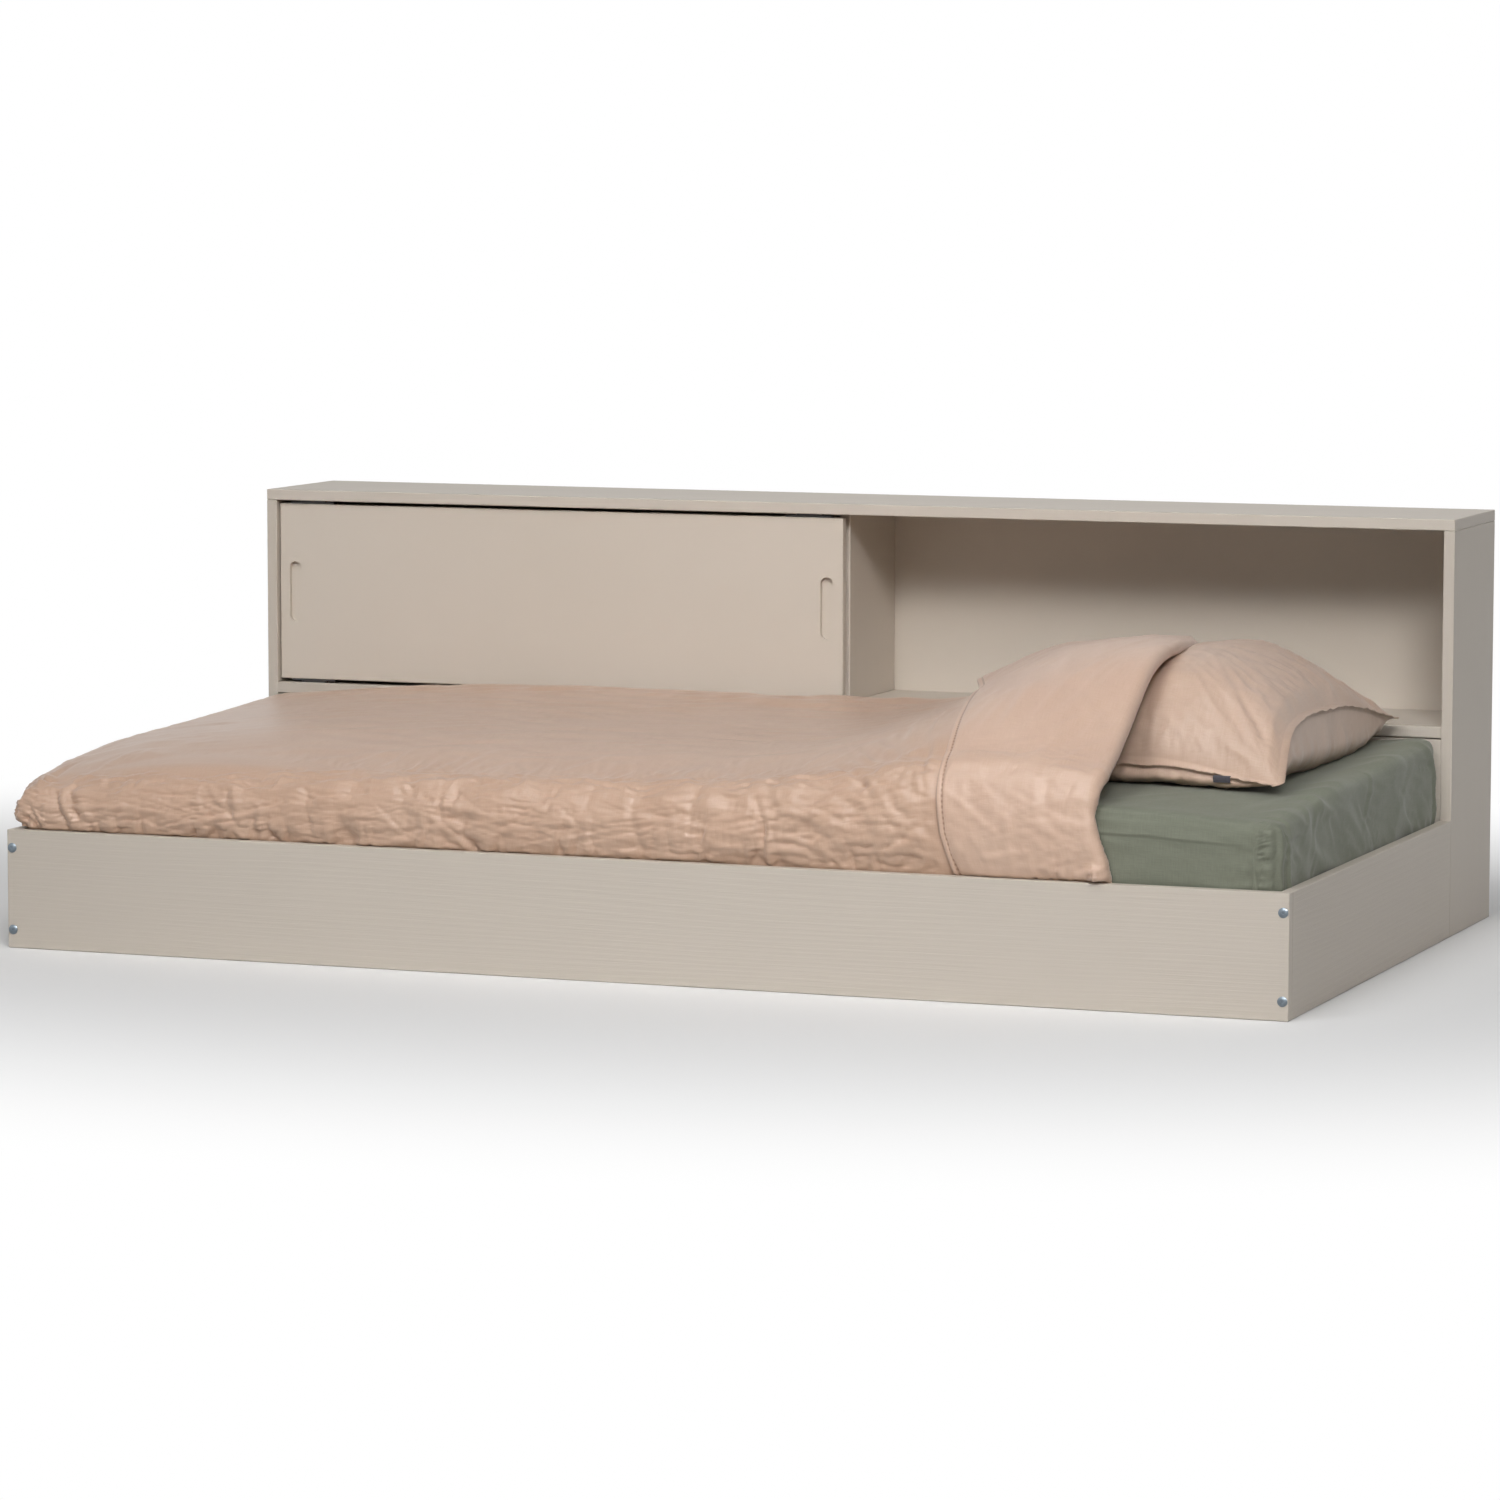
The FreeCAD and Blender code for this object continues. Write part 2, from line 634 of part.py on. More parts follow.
# Cams and dowels between the sides and what stands between them
for end, face_x, way in (("left", "foot_inner_x", "x"), ("right", "head_inner_x", "-x")):
    side = "cabinet_side_" + end
    shelf_middle = "shelf_low + board / 2"
    cam_joint("shelf_cam_front_" + end, (face_x, "strip_back_y + cam_inset", shelf_middle), way, "-z",
              side, "cabinet_shelf")
    cam_joint("shelf_cam_back_" + end, (face_x, "back_panel_y - cam_inset", shelf_middle), way, "-z",
              side, "cabinet_shelf")
    dowel_joint("shelf_dowel_" + end, (face_x, "strip_back_y + shelf_depth / 2", shelf_middle), way,
                side, "cabinet_shelf")
    strip_middle = "strip_back_y - (shelf_strip_depth - door_recess - track_width) / 2"
    dowel_joint("strip_dowel_" + end, (face_x, strip_middle, shelf_middle), way, side, "shelf_front_rail")
    panel_middle = "cabinet_y + board / 2"
    low_cam = "bracket_low + bracket_height + cam_inset"
    high_cam = "shelf_low - cam_inset"
    cam_joint("panel_cam_low_" + end, (face_x, panel_middle, low_cam), way, "y", side, "lower_panel")
    cam_joint("panel_cam_high_" + end, (face_x, panel_middle, high_cam), way, "y", side, "lower_panel")
    dowel_joint("panel_dowel_" + end, (face_x, panel_middle, "(%s + %s) / 2" % (low_cam, high_cam)), way,
                side, "lower_panel")
    cam_joint("stretcher_cam_" + end, (face_x, "stretcher_y + board / 2", "stretcher_height / 2"), way,
              "-y", side, "rear_stretcher")
    edge_x = "foot_x + board / 2" if end == "left" else "head_x - board / 2"
    cam_joint("top_cam_front_" + end, (edge_x, "track_y + cam_inset", "side_height"), "-z", way,
              "cabinet_top", side)
    cam_joint("top_cam_back_" + end, (edge_x, "wall_y - cam_inset", "side_height"), "-z", way,
              "cabinet_top", side)
    dowel_joint("top_dowel_" + end, (edge_x, "cabinet_y + cabinet_depth / 2", "side_height"), "-z",
                "cabinet_top", side)

# Dowels at the dividers' ends. The two under the upper divider stand clear of the two below it.
for level, y in (("front", "strip_back_y + cam_inset"), ("back", "back_panel_y - cam_inset")):
    dowel_joint("divider_top_dowel_" + level, (0, y, "side_height"), "-z", "cabinet_top", "cabinet_divider")
    start = (0, y, "shelf_low + board / 2 - dowel_length")
    through = "dowel_length + board / 2 + dowel_in_face"
    cabinet_dowels.append(rod("divider_dowel_" + level, "z", start, "dowel_radius", through))
    bored(["lower_divider", "cabinet_shelf", "cabinet_divider"],
          rod("divider_dowel_bore_" + level, "z", start, "dowel_radius + clearance",
              through + " + clearance"))
group("cam_bolts", cam_bolts)
group("cam_housings", cams)
group("cabinet_dowels", cabinet_dowels)

# Screws through the thin back panel into the shelf, the rear stretcher and the divider
back_screws = []
back_rows = [("shelf", "cabinet_shelf", "shelf_low + board / 2"),
             ("stretcher", "rear_stretcher", "stretcher_height * 3 / 4")]
back_step = "(inner_length - 2 * back_screw_inset) / (back_screw_count - 1)"
for row, carrier, z in back_rows:
    for index in range(SIZES["back_screw_count"] - 1):
        x = "foot_inner_x + back_screw_inset + (%d + 1 / 2) * %s" % (index, back_step)
        back_screws.append(screw("back_screw_%s_%d" % (row, index), "-y", (x, "wall_y", z),
                                 ["back_panel", carrier], "back_screw_radius",
                                 "back_screw_head_radius", "back_screw_head_height",
                                 "back_screw_length"))
for level, share in (("low", "1 / 4"), ("high", "3 / 4")):
    z = "shelf_height + compartment_height * " + share
    back_screws.append(screw("back_screw_divider_" + level, "-y", (0, "wall_y", z),
                             ["back_panel", "cabinet_divider"], "back_screw_radius",
                             "back_screw_head_radius", "back_screw_head_height",
                             "back_screw_length"))
group("back_panel_screws", back_screws)

# Grooves for the two channels, and the channels let into them
for name, board, groove_z, hollow_z in (
        ("track_lower", "shelf_front_rail", "shelf_height - track_depth",
         "shelf_height - track_depth + track_wall"),
        ("track_upper", "cabinet_top", "side_height", "side_height")):
    bored([board], box(name + "_groove", ("foot_inner_x", "track_y", groove_z),
                       ("inner_length", "track_width", "track_depth")))
    profile = box(name + "_outer", ("foot_inner_x", "track_y", groove_z),
                  ("inner_length", "track_width", "track_depth"))
    hollow = box(name + "_hollow", ("foot_inner_x", "track_y + track_wall", hollow_z),
                 ("inner_length", "channel", "track_depth - track_wall"))
    keep(name, cut(name, profile, [hollow]))

# Sliding door: a board with eased edges and two stadium-shaped finger grips routed in its face
door = doc.addObject("PartDesign::Body", "door_blank")
door_outline = rectangle(door, "door_outline", "XZ_Plane", "door_width", "door_height")
door_pad = door.newObject("PartDesign::Pad", "door_pad")
door_pad.Profile = door_outline
door_pad.Reversed = True
bind(door_pad, "Length", "door_thickness")
doc.recompute()
door_ease = door.newObject("PartDesign::Fillet", "door_ease")
door_ease.Base = (door_pad, [])
door_ease.UseAllEdges = True
bind(door_ease, "Radius", "door_arris")
doc.recompute()
grip_outline = door.newObject("Sketcher::SketchObject", "grip_outline")
grip_outline.AttachmentSupport = [(origin_plane(door, "XZ_Plane"), "")]
grip_outline.MapMode = "FlatFace"
grip_x = size("grip_inset")
grip_z = size("door_height") / 2
grip_r = size("grip_width") / 2
grip_half = size("grip_height") / 2 - grip_r
upward = FreeCAD.Vector(0, 0, 1)
upper_end = Part.Circle(FreeCAD.Vector(grip_x, grip_z + grip_half, 0), upward, grip_r)
lower_end = Part.Circle(FreeCAD.Vector(grip_x, grip_z - grip_half, 0), upward, grip_r)
grip_outline.addGeometry(Part.ArcOfCircle(upper_end, 0, math.pi), False)
grip_outline.addGeometry(Part.LineSegment(
    FreeCAD.Vector(grip_x - grip_r, grip_z + grip_half, 0),
    FreeCAD.Vector(grip_x - grip_r, grip_z - grip_half, 0)), False)
grip_outline.addGeometry(Part.ArcOfCircle(lower_end, math.pi, 2 * math.pi), False)
grip_outline.addGeometry(Part.LineSegment(
    FreeCAD.Vector(grip_x + grip_r, grip_z - grip_half, 0),
    FreeCAD.Vector(grip_x + grip_r, grip_z + grip_half, 0)), False)
for first, first_end, second, second_end in ((0, 2, 1, 1), (1, 2, 2, 1), (2, 2, 3, 1), (3, 2, 0, 1)):
    grip_outline.addConstraint(Sketcher.Constraint("Tangent", first, first_end, second, second_end))
grip_outline.addConstraint(Sketcher.Constraint("Vertical", 1))
grip_limits = [("inset", "DistanceX", (-1, 1, 0, 3), "grip_inset", grip_x),
               ("middle", "DistanceY", (-1, 1, 0, 3), "door_height / 2 + (grip_height - grip_width) / 2",
                grip_z + grip_half),
               ("straight", "DistanceY", (2, 3, 0, 3), "grip_height - grip_width", 2 * grip_half)]
for label, kind, ends, formula, number in grip_limits:
    made = grip_outline.addConstraint(Sketcher.Constraint(kind, *ends, number))
    grip_outline.renameConstraint(made, label)
    bind(grip_outline, "Constraints." + label, formula)
made = grip_outline.addConstraint(Sketcher.Constraint("Radius", 0, grip_r))
grip_outline.renameConstraint(made, "round")
bind(grip_outline, "Constraints.round", "grip_width / 2")
doc.recompute()
grip = door.newObject("PartDesign::Pocket", "grip")
grip.Profile = grip_outline
bind(grip, "Length", "grip_depth")
door.Tip = grip
doc.recompute()
grips = door.newObject("PartDesign::LinearPattern", "grips")
grips.Originals = [grip]
grips.Direction = (origin_plane(door, "X_Axis"), [""])
bind(grips, "Length", "door_width - 2 * grip_inset")
grips.Occurrences = 2
door.Tip = grips
place(door, ("foot_inner_x + door_side_gap", "door_y", "door_low"))
blanks["sliding_door"] = door

# Glides under the door stand in the lower channel; guides on its top edge run in the upper one.
# Each is a moulded strip with a tongue, held by two screws.
runners = {"door_glides": [], "door_guides": []}
door_screws = []
tongue_y = "track_y + track_wall + running_gap"
for end, middle_x in (("left", "foot_inner_x + door_side_gap + glide_inset"),
                      ("right", "foot_inner_x + door_side_gap + door_width - glide_inset")):
    for kind, flange_z, tongue_z, tongue_height, head_z, way in (
            ("door_glides", "door_low - glide_flange",
             "shelf_height - track_depth + track_wall + running_gap",
             "door_low_gap - glide_flange + track_depth - track_wall - running_gap",
             "door_low - glide_flange", "z"),
            ("door_guides", "door_low + door_height", "door_low + door_height + glide_flange",
             "door_top_gap - glide_flange + track_depth - track_wall - guide_slack",
             "door_low + door_height + glide_flange", "-z")):
        name = "%s_%s" % (kind, end)
        flange = box(name + "_flange",
                     ("%s - glide_length / 2" % middle_x, "door_y + door_arris", flange_z),
                     ("glide_length", "door_thickness - 2 * door_arris", "glide_flange"))
        tongue = box(name + "_tongue", ("%s - glide_tongue / 2" % middle_x, tongue_y, tongue_z),
                     ("glide_tongue", "glide_width", tongue_height))
        blanks[name] = fuse(name + "_blank", [flange, tongue])
        for place_name, sign in (("a", "-"), ("b", "+")):
            x = "%s %s glide_screw_spacing / 2" % (middle_x, sign)
            door_screws.append(screw(
                "%s_screw_%s" % (name, place_name), way, (x, "door_y + door_thickness / 2", head_z),
                [name, "sliding_door"], "back_screw_radius", "back_screw_head_radius",
                "back_screw_head_height", "glide_screw_length"))
        runners[kind].append(name)
group("door_screws", door_screws)

# Small round pads on the side panels stop the door at each end
bumpers = []
for end, x, way in (("left", "foot_inner_x", "x"), ("right", "head_inner_x", "-x")):
    for level, z in (("low", "door_low + bumper_inset"),
                     ("high", "door_low + door_height - bumper_inset")):
        bumpers.append(rod("bumper_%s_%s" % (end, level), way, (x, "door_y + door_thickness / 2", z),
                           "bumper_radius", "door_side_gap - running_gap"))
group("door_bumpers", bumpers)

# Cut every bore, groove and pocket in the board that it belongs to
finished = {}
for name, blank in blanks.items():
    finished[name] = cut(name + "_cut", blank, cutters[name]) if name in cutters else blank
for kind, names in {"corner_brackets": ["bracket_left", "bracket_right"], **runners}.items():
    group(kind, [finished.pop(name) for name in names])
for name, thing in finished.items():
    keep(name, thing)

# Foam mattress, and the fitted sheet drawn over it with its hem turned under
keep("mattress", rounded_block(
    "mattress_core", ("mattress_x + core_inset", "mattress_y + core_inset", "slat_top_height + core_inset"),
    ("mattress_length - 2 * core_inset", "mattress_width - 2 * core_inset",
     "mattress_thickness - 2 * core_inset"), "mattress_edge - core_inset"))
sheet_outer = rounded_block(
    "sheet_outer", ("mattress_x", "mattress_y", "slat_top_height"),
    ("mattress_length", "mattress_width", "mattress_thickness"), "mattress_edge")
sheet_inner = rounded_block(
    "sheet_inner",
    ("mattress_x + sheet_cloth", "mattress_y + sheet_cloth", "slat_top_height + sheet_cloth"),
    ("mattress_length - 2 * sheet_cloth", "mattress_width - 2 * sheet_cloth",
     "mattress_thickness - 2 * sheet_cloth"), "mattress_edge - sheet_cloth")
sheet_opening = box(
    "sheet_opening", ("mattress_x + sheet_hem", "mattress_y + sheet_hem", "slat_top_height - sheet_cloth"),
    ("mattress_length - 2 * sheet_hem", "mattress_width - 2 * sheet_hem", "3 * sheet_cloth"))
keep("fitted_sheet", cut("sheet", sheet_outer, [sheet_inner, sheet_opening]))
doc.recompute()


# Pillow: nine sections from its foot side to its head side, each an arc over the crown, a short
# upright at each seam and three lines below. The corners stay out while the seams between them are
# drawn in.
PILLOW_STATION_SHARES = (0, 0.05, 0.16, 0.32, 0.5, 0.68, 0.84, 0.95, 1)
PILLOW_FILL_SHARES = (0.03, 0.28, 0.6, 0.8, 0.9, 1, 0.88, 0.62, 0.03)
PILLOW_LOW_SHARES = (0.14, 0.8)
PILLOW_END_POWER = 8


def arch(share):
    """The height of a flat arch over this place along its span, as a share of its crown."""
    return 4 * share * (1 - share)


def pillow_seams(share, ease):
    """Where the seams in front and by the wall cross the section at this share of the length."""
    head_x = size("mattress_x") + size("mattress_length") - size("pillow_head_gap") + ease
    back_y = size("mattress_y") + size("mattress_width") - size("pillow_wall_gap")
    top = size("mattress_top") + size("sheet_ease")
    x = head_x - (size("pillow_length") + 2 * ease) * (1 - share)
    inset = size("pillow_drawn_in") * arch(share) - ease
    front_lift = size("pillow_seam_front") - size("pillow_corner_front")
    wall_lift = size("pillow_seam_wall") - size("pillow_corner_wall")
    front = FreeCAD.Vector(x, back_y - size("pillow_width") + inset,
                           top + size("pillow_corner_front") + front_lift * arch(share))
    wall = FreeCAD.Vector(x, back_y - inset, top + size("pillow_corner_wall") + wall_lift * arch(share))
    return front, wall


def pillow_sections(ease):
    """Closed flat wires of the pillow, each grown outwards by the ease."""
    top = size("mattress_top") + size("sheet_ease")
    wires = []
    for share, fill in zip(PILLOW_STATION_SHARES, PILLOW_FILL_SHARES):
        front, wall = pillow_seams(share, ease)
        half_way = (front + wall) / 2
        spread = 2 * share - 1
        crown = max(top + size("pillow_crown") * fill, half_way.z + size("pillow_seam_front")) + ease
        bow = size("pillow_drawn_in") * spread ** 3
        middle = FreeCAD.Vector(half_way.x - bow, half_way.y, crown)
        upward = (middle - half_way).normalize()
        height = middle.distanceToPoint(half_way)
        closing = abs(spread) ** PILLOW_END_POWER
        low = []
        for across in PILLOW_LOW_SHARES:
            chord = front + (wall - front) * across
            to_floor = (top - ease - chord.z) / upward.z
            to_crown = height * arch(across) - size("pillow_seam") - 2 * ease
            low.append(chord + upward * (to_floor + (to_crown - to_floor) * closing))
        edge = upward * (size("pillow_seam") / 2 + ease)
        corners = [wall + edge, wall - edge, low[1], low[0], front - edge, front + edge]
        edges = [Part.Arc(front + edge, middle, wall + edge).toShape()]
        for before, after in zip(corners, corners[1:]):
            edges.append(Part.LineSegment(before, after).toShape())
        wires.append(Part.Wire(edges))
    return wires


pillow = doc.addObject("Part::Feature", "pillow")
pillow.Shape = Part.makeLoft(pillow_sections(0), True, True)
keep("pillow", pillow)

# Small bare fabric tab sewn in the pillow's front seam, set against the seam at the tab's head end
tab_x = size("mattress_x") + size("mattress_length") - size("pillow_head_gap") - size("tab_inset")
tab_end = tab_x + size("tab_width")
seam = [pillow_seams(share, 0)[0] for share in PILLOW_STATION_SHARES]
for before, after in zip(seam, seam[1:]):
    if before.x <= tab_end <= after.x:
        seam_point = before + (after - before) * ((tab_end - before.x) / (after.x - before.x))
tab = doc.addObject("Part::Feature", "tab")
tab.Shape = Part.makeBox(size("tab_width"), size("tab_thickness"), size("tab_height"))
tab.Placement = FreeCAD.Placement(
    FreeCAD.Vector(tab_x, seam_point.y - size("tab_thickness") - size("sheet_ease"),
                   seam_point.z - size("tab_height") / 2), FreeCAD.Rotation())
keep("pillow_tab", tab)


# Duvet: sections across the bed from foot to head. Each is one closed wire: the drop in front,
# its shoulder, two arcs over the top, the shoulder by the cabinet, and straight lines below, which
# the mattress and the pillow are then cut from. The last part is doubled, where it is folded back.
DUVET_ACROSS_SHARES = (0.055, 0.26, 0.51, 0.76, 0.975)
BLANKET_SHARES = (0.2, 0.7, 0.9, 1, 0.95)
RISE_ACROSS_SHARES = (0.21, 0.5, 1, 0.93, 0.68)
MAIN_STATION_SHARES = (0, 0.009, 0.035, 0.093, 0.2, 0.35, 0.49, 0.63, 0.745, 0.85, 0.914, 0.955, 0.99)
MAIN_DROP_SHARES = (1, 0.5, 0.12, 0.05, 0.01, 0, 0, 0, 0, 0, 0, 0, 0)
MAIN_INSET_SHARES = (1, 0.35, 0.1, 0, 0, 0, 0, 0, 0, 0, 0, 0, 0)
FOLD_SHARES = (0, 0, 0, 0, 0, 0, 0.4, -0.3, 0.5, -0.2, 0.3, -0.4, 0.2)
CUFF_STATION_SHARES = (0.02, 0.35, 0.7, 0.92, 1)
CUFF_DROP_SHARES = (0, 0, 0, 0.4, 2)

# Where the blanket begins to climb the pillow, and how far it climbs, along the pillow's length
CLIMB_LEAD_SHARE = 0.15
CLIMB_SHARE = 0.58

# The shoulders, as shares of the rounded edge
SHOULDER_IN_SHARE = 0.2
SHOULDER_DOWN_SHARE = 1.2
SHOULDER_ARC_SHARES = (0.8, 0.35)
WALL_ARC_SHARE = 0.25


def smooth(share):
    share = min(max(share, 0), 1)
    return share * share * (3 - 2 * share)


def duvet_section(x, drop, inset, doubled, fold):
    """One closed wire across the bed at x."""
    near = size("rail_back_y") + size("duvet_ease") + inset * size("duvet_edge_radius")
    far = size("cabinet_y") - size("wall_gap") - size("duvet_end_gap") - inset * size("duvet_edge_radius")
    low = size("rail_height") + size("duvet_ease")
    pillow_x = size("mattress_x") + size("mattress_length") - size("pillow_head_gap") - size("pillow_length")
    climbed = (x - pillow_x) / size("pillow_length") + CLIMB_LEAD_SHARE
    rise = smooth(climbed / CLIMB_SHARE) * size("duvet_rise")
    heights = []
    for blanket, across in zip(BLANKET_SHARES, RISE_ACROSS_SHARES):
        heights.append(size("mattress_top") + blanket * size("duvet_thickness") + across * rise
                       + doubled * size("cuff_step") - drop * size("duvet_foot_drop"))
    across = [near + share * (far - near) for share in DUVET_ACROSS_SHARES]
    edge = size("duvet_edge_radius")
    bulge = size("duvet_front_bulge") * (1 + fold)
    shoulder = heights[0] - edge * SHOULDER_DOWN_SHARE
    arc_in, arc_down = SHOULDER_ARC_SHARES

    def at(y, z):
        return FreeCAD.Vector(x, y, z)

    points = [at(near, low), at(near + edge * SHOULDER_IN_SHARE, shoulder), at(across[0], heights[0]),
              at(across[2], heights[2]), at(across[4], heights[4]), at(far, heights[4] - edge),
              at(far, low)]
    middles = [at(near - bulge, (low + shoulder) / 2),
               at(near + edge * arc_in, heights[0] - edge * arc_down),
               at(across[1], heights[1]), at(across[3], heights[3]),
               at(far - edge * WALL_ARC_SHARE, heights[4] - edge * WALL_ARC_SHARE)]
    edges = [Part.Arc(points[index], middles[index], points[index + 1]).toShape() for index in range(5)]
    edges.append(Part.LineSegment(points[5], points[6]).toShape())
    edges.append(Part.LineSegment(points[6], points[0]).toShape())
    return Part.Wire(edges)


duvet_foot = size("foot_inner_x") - size("duvet_foot_bulge")
duvet_head = size("mattress_x") + size("mattress_length") - size("duvet_head_gap")
cuff_start = duvet_head - size("cuff_width")
wires = []
for station, drop, inset, fold in zip(MAIN_STATION_SHARES, MAIN_DROP_SHARES, MAIN_INSET_SHARES, FOLD_SHARES):
    wires.append(duvet_section(duvet_foot + station * (cuff_start - duvet_foot), drop, inset, 0, fold))
for station, drop in zip(CUFF_STATION_SHARES, CUFF_DROP_SHARES):
    ending = drop * size("cuff_step") / size("duvet_foot_drop")
    wires.append(duvet_section(cuff_start + station * size("cuff_width"), ending, 0, 1, 0))
blanket = Part.makeLoft(wires, True, True)

# The tail hangs inside the frame, down past the rail's top edge
tail_corner = FreeCAD.Vector(
    size("foot_inner_x") + size("duvet_ease"), size("rail_back_y") + size("duvet_ease"),
    size("rail_height") - size("duvet_tail"))
tail = Part.makeBox(duvet_head - tail_corner.x - size("duvet_edge_radius"),
                    size("cabinet_y") - size("wall_gap") - size("duvet_end_gap") - tail_corner.y,
                    size("duvet_tail") + size("duvet_edge_radius"), tail_corner)
under = size("duvet_ease")
bed_shape = Part.makeBox(
    size("mattress_length") + 2 * under, size("mattress_width") + 2 * under,
    size("mattress_thickness") + 2 * under,
    FreeCAD.Vector(size("mattress_x") - under, size("mattress_y") - under, size("slat_top_height") - under))
bed_shape = bed_shape.makeFillet(size("mattress_edge") + under, bed_shape.Edges)
pillow_shape = Part.makeLoft(pillow_sections(size("pillow_ease")), True, True)
duvet = doc.addObject("Part::Feature", "duvet")
duvet.Shape = blanket.fuse(tail).cut(bed_shape).cut(pillow_shape)
keep("duvet", duvet)

doc.recompute()
for thing in doc.Objects:
    if "Invalid" in thing.State or "Error" in thing.State:
        raise RuntimeError("%s did not recompute: %s" % (thing.Name, thing.State))
for name, thing in parts.items():
    shape = thing.Shape
    if shape.isNull() or not shape.isValid():
        raise RuntimeError("%s has no valid shape" % name)
    if not shape.Solids:
        raise RuntimeError("%s has no solid" % name)

os.makedirs("parts", exist_ok=True)
for name, thing in parts.items():
    thing.Shape.exportStep("parts/%s.step" % name)
    bounds = thing.Shape.BoundBox
    print("%-20s %3d solids  x %8.1f %8.1f  y %8.1f %8.1f  z %7.1f %7.1f" % (
        name, len(thing.Shape.Solids), bounds.XMin, bounds.XMax, bounds.YMin, bounds.YMax,
        bounds.ZMin, bounds.ZMax))
print(len(parts), "nodes")
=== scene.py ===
import math
import bpy
import numpy as np
from mathutils import Matrix, Vector


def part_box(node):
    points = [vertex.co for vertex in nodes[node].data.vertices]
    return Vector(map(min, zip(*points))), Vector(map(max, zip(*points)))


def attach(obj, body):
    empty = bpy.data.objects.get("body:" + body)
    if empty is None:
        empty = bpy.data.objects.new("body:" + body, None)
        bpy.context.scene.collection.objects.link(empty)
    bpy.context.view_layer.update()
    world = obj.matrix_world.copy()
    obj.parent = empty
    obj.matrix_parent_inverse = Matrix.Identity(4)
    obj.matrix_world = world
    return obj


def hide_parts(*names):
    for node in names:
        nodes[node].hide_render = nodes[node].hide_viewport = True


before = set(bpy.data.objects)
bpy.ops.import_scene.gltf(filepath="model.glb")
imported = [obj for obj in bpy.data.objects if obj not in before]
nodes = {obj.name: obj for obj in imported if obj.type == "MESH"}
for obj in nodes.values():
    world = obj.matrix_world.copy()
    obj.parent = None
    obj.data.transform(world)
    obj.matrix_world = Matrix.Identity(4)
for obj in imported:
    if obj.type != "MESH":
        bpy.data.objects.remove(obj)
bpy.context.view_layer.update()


# Painted boards: rail, end boards, sides, top, shelf, divider and lower panels. Glued pine board,
# brushed so that its grain stands up, then painted matt in a warm greige. Bolted and cam-locked.
def colour(code):
    """An sRGB hex colour as linear light."""
    shares = [int(code[at:at + 2], 16) / 255 for at in (0, 2, 4)]
    return [c / 12.92 if c <= 0.04045 else ((c + 0.055) / 1.055) ** 2.4 for c in shares] + [1]


def add(tree, kind, inputs=None, out=0, **settings):
    """Adds a node with its settings and gives one of its outputs, or all of them where out is None. An
    input is a plain value or the output that feeds it."""
    made = tree.nodes.new("ShaderNode" + kind)
    for name, value in settings.items():
        setattr(made, name, value)
    for name, value in (inputs or {}).items():
        if isinstance(value, bpy.types.NodeSocket):
            tree.links.new(value, made.inputs[name])
        else:
            made.inputs[name].default_value = value
    return made.outputs if out is None else made.outputs[out]


def finish(name, **sockets):
    """A new material with its shader, and the tree to add to."""
    made = bpy.data.materials.new(name)
    made.use_nodes = True
    shader = made.node_tree.nodes["Principled BSDF"]
    for socket, value in sockets.items():
        shader.inputs[socket.replace("_", " ")].default_value = value
    return made, made.node_tree, shader


def coat(tree, shader, share, first, second, relief, strength, depth):
    """Colours that blend by a share, over a relief of this strength and depth in metres."""
    mixed = add(tree, "MixRGB", {"Fac": share, "Color1": first, "Color2": second})
    tree.links.new(mixed, shader.inputs["Base Color"])
    bump = add(tree, "Bump", {"Height": relief, "Strength": strength, "Distance": depth})
    tree.links.new(bump, shader.inputs["Normal"])


def dress(material, *names):
    """Gives CAD nodes this material."""
    for name in names:
        nodes[name].data.materials.clear()
        nodes[name].data.materials.append(material)


GRAIN_TURNS = {"x": (0, 0, 0), "y": (0, 0, -math.pi / 2), "z": (0, math.pi / 2, 0)}
# How far apart the growth rings and the fibres stand, in metres, and how far the rings wander.
RING_PITCH = 0.005 / 0.55
FIBRE_PITCH = 0.0016
RING_SWIRL = 70


def painted_pine(name, grain, shade, raised_grain):
    """Matt paint over brushed pine: faint arched grain lines and a fine fibre in low relief."""
    made, tree, shader = finish(name, Roughness=0.52)
    place = add(tree, "TexCoord", out="Object")
    turned = add(tree, "Mapping", {"Vector": place, "Rotation": GRAIN_TURNS[grain]})
    long_way = add(tree, "Mapping", {"Vector": turned, "Scale": (0.7, 5, 5)})
    swirl = add(tree, "TexNoise", {"Vector": long_way, "Scale": 1, "Detail": 2, "Roughness": 0.4})
    axes = add(tree, "SeparateXYZ", {"Vector": turned}, out=None)
    across = add(tree, "Math", {0: axes["Y"], 1: axes["Z"]}, operation="ADD")
    pitch = add(tree, "Math", {0: across, 1: 2 * math.pi / RING_PITCH}, operation="MULTIPLY")
    phase = add(tree, "Math", {0: swirl, 1: RING_SWIRL, 2: pitch}, operation="MULTIPLY_ADD")
    wave = add(tree, "Math", {0: phase}, operation="SINE")
    rings = add(tree, "MapRange", {"Value": wave, "From Min": -0.2, "From Max": 1},
                interpolation_type="SMOOTHSTEP")
    fine = 1 / FIBRE_PITCH
    thin_way = add(tree, "Mapping", {"Vector": turned, "Scale": (9, fine, fine)})
    fibre = add(tree, "TexNoise", {"Vector": thin_way, "Scale": 1, "Detail": 3, "Roughness": 0.6})
    patches = add(tree, "TexNoise", {"Vector": long_way, "Scale": 0.7, "Detail": 2})
    relief = add(tree, "Math", {0: rings, 1: 0.22, 2: fibre}, operation="MULTIPLY_ADD")
    paler = add(tree, "MixRGB", {"Fac": relief, "Color1": colour(shade[0]), "Color2": colour(shade[1])})
    coat(tree, shader, patches, colour(shade[2]), paler, relief, raised_grain, 0.0004)
    return made


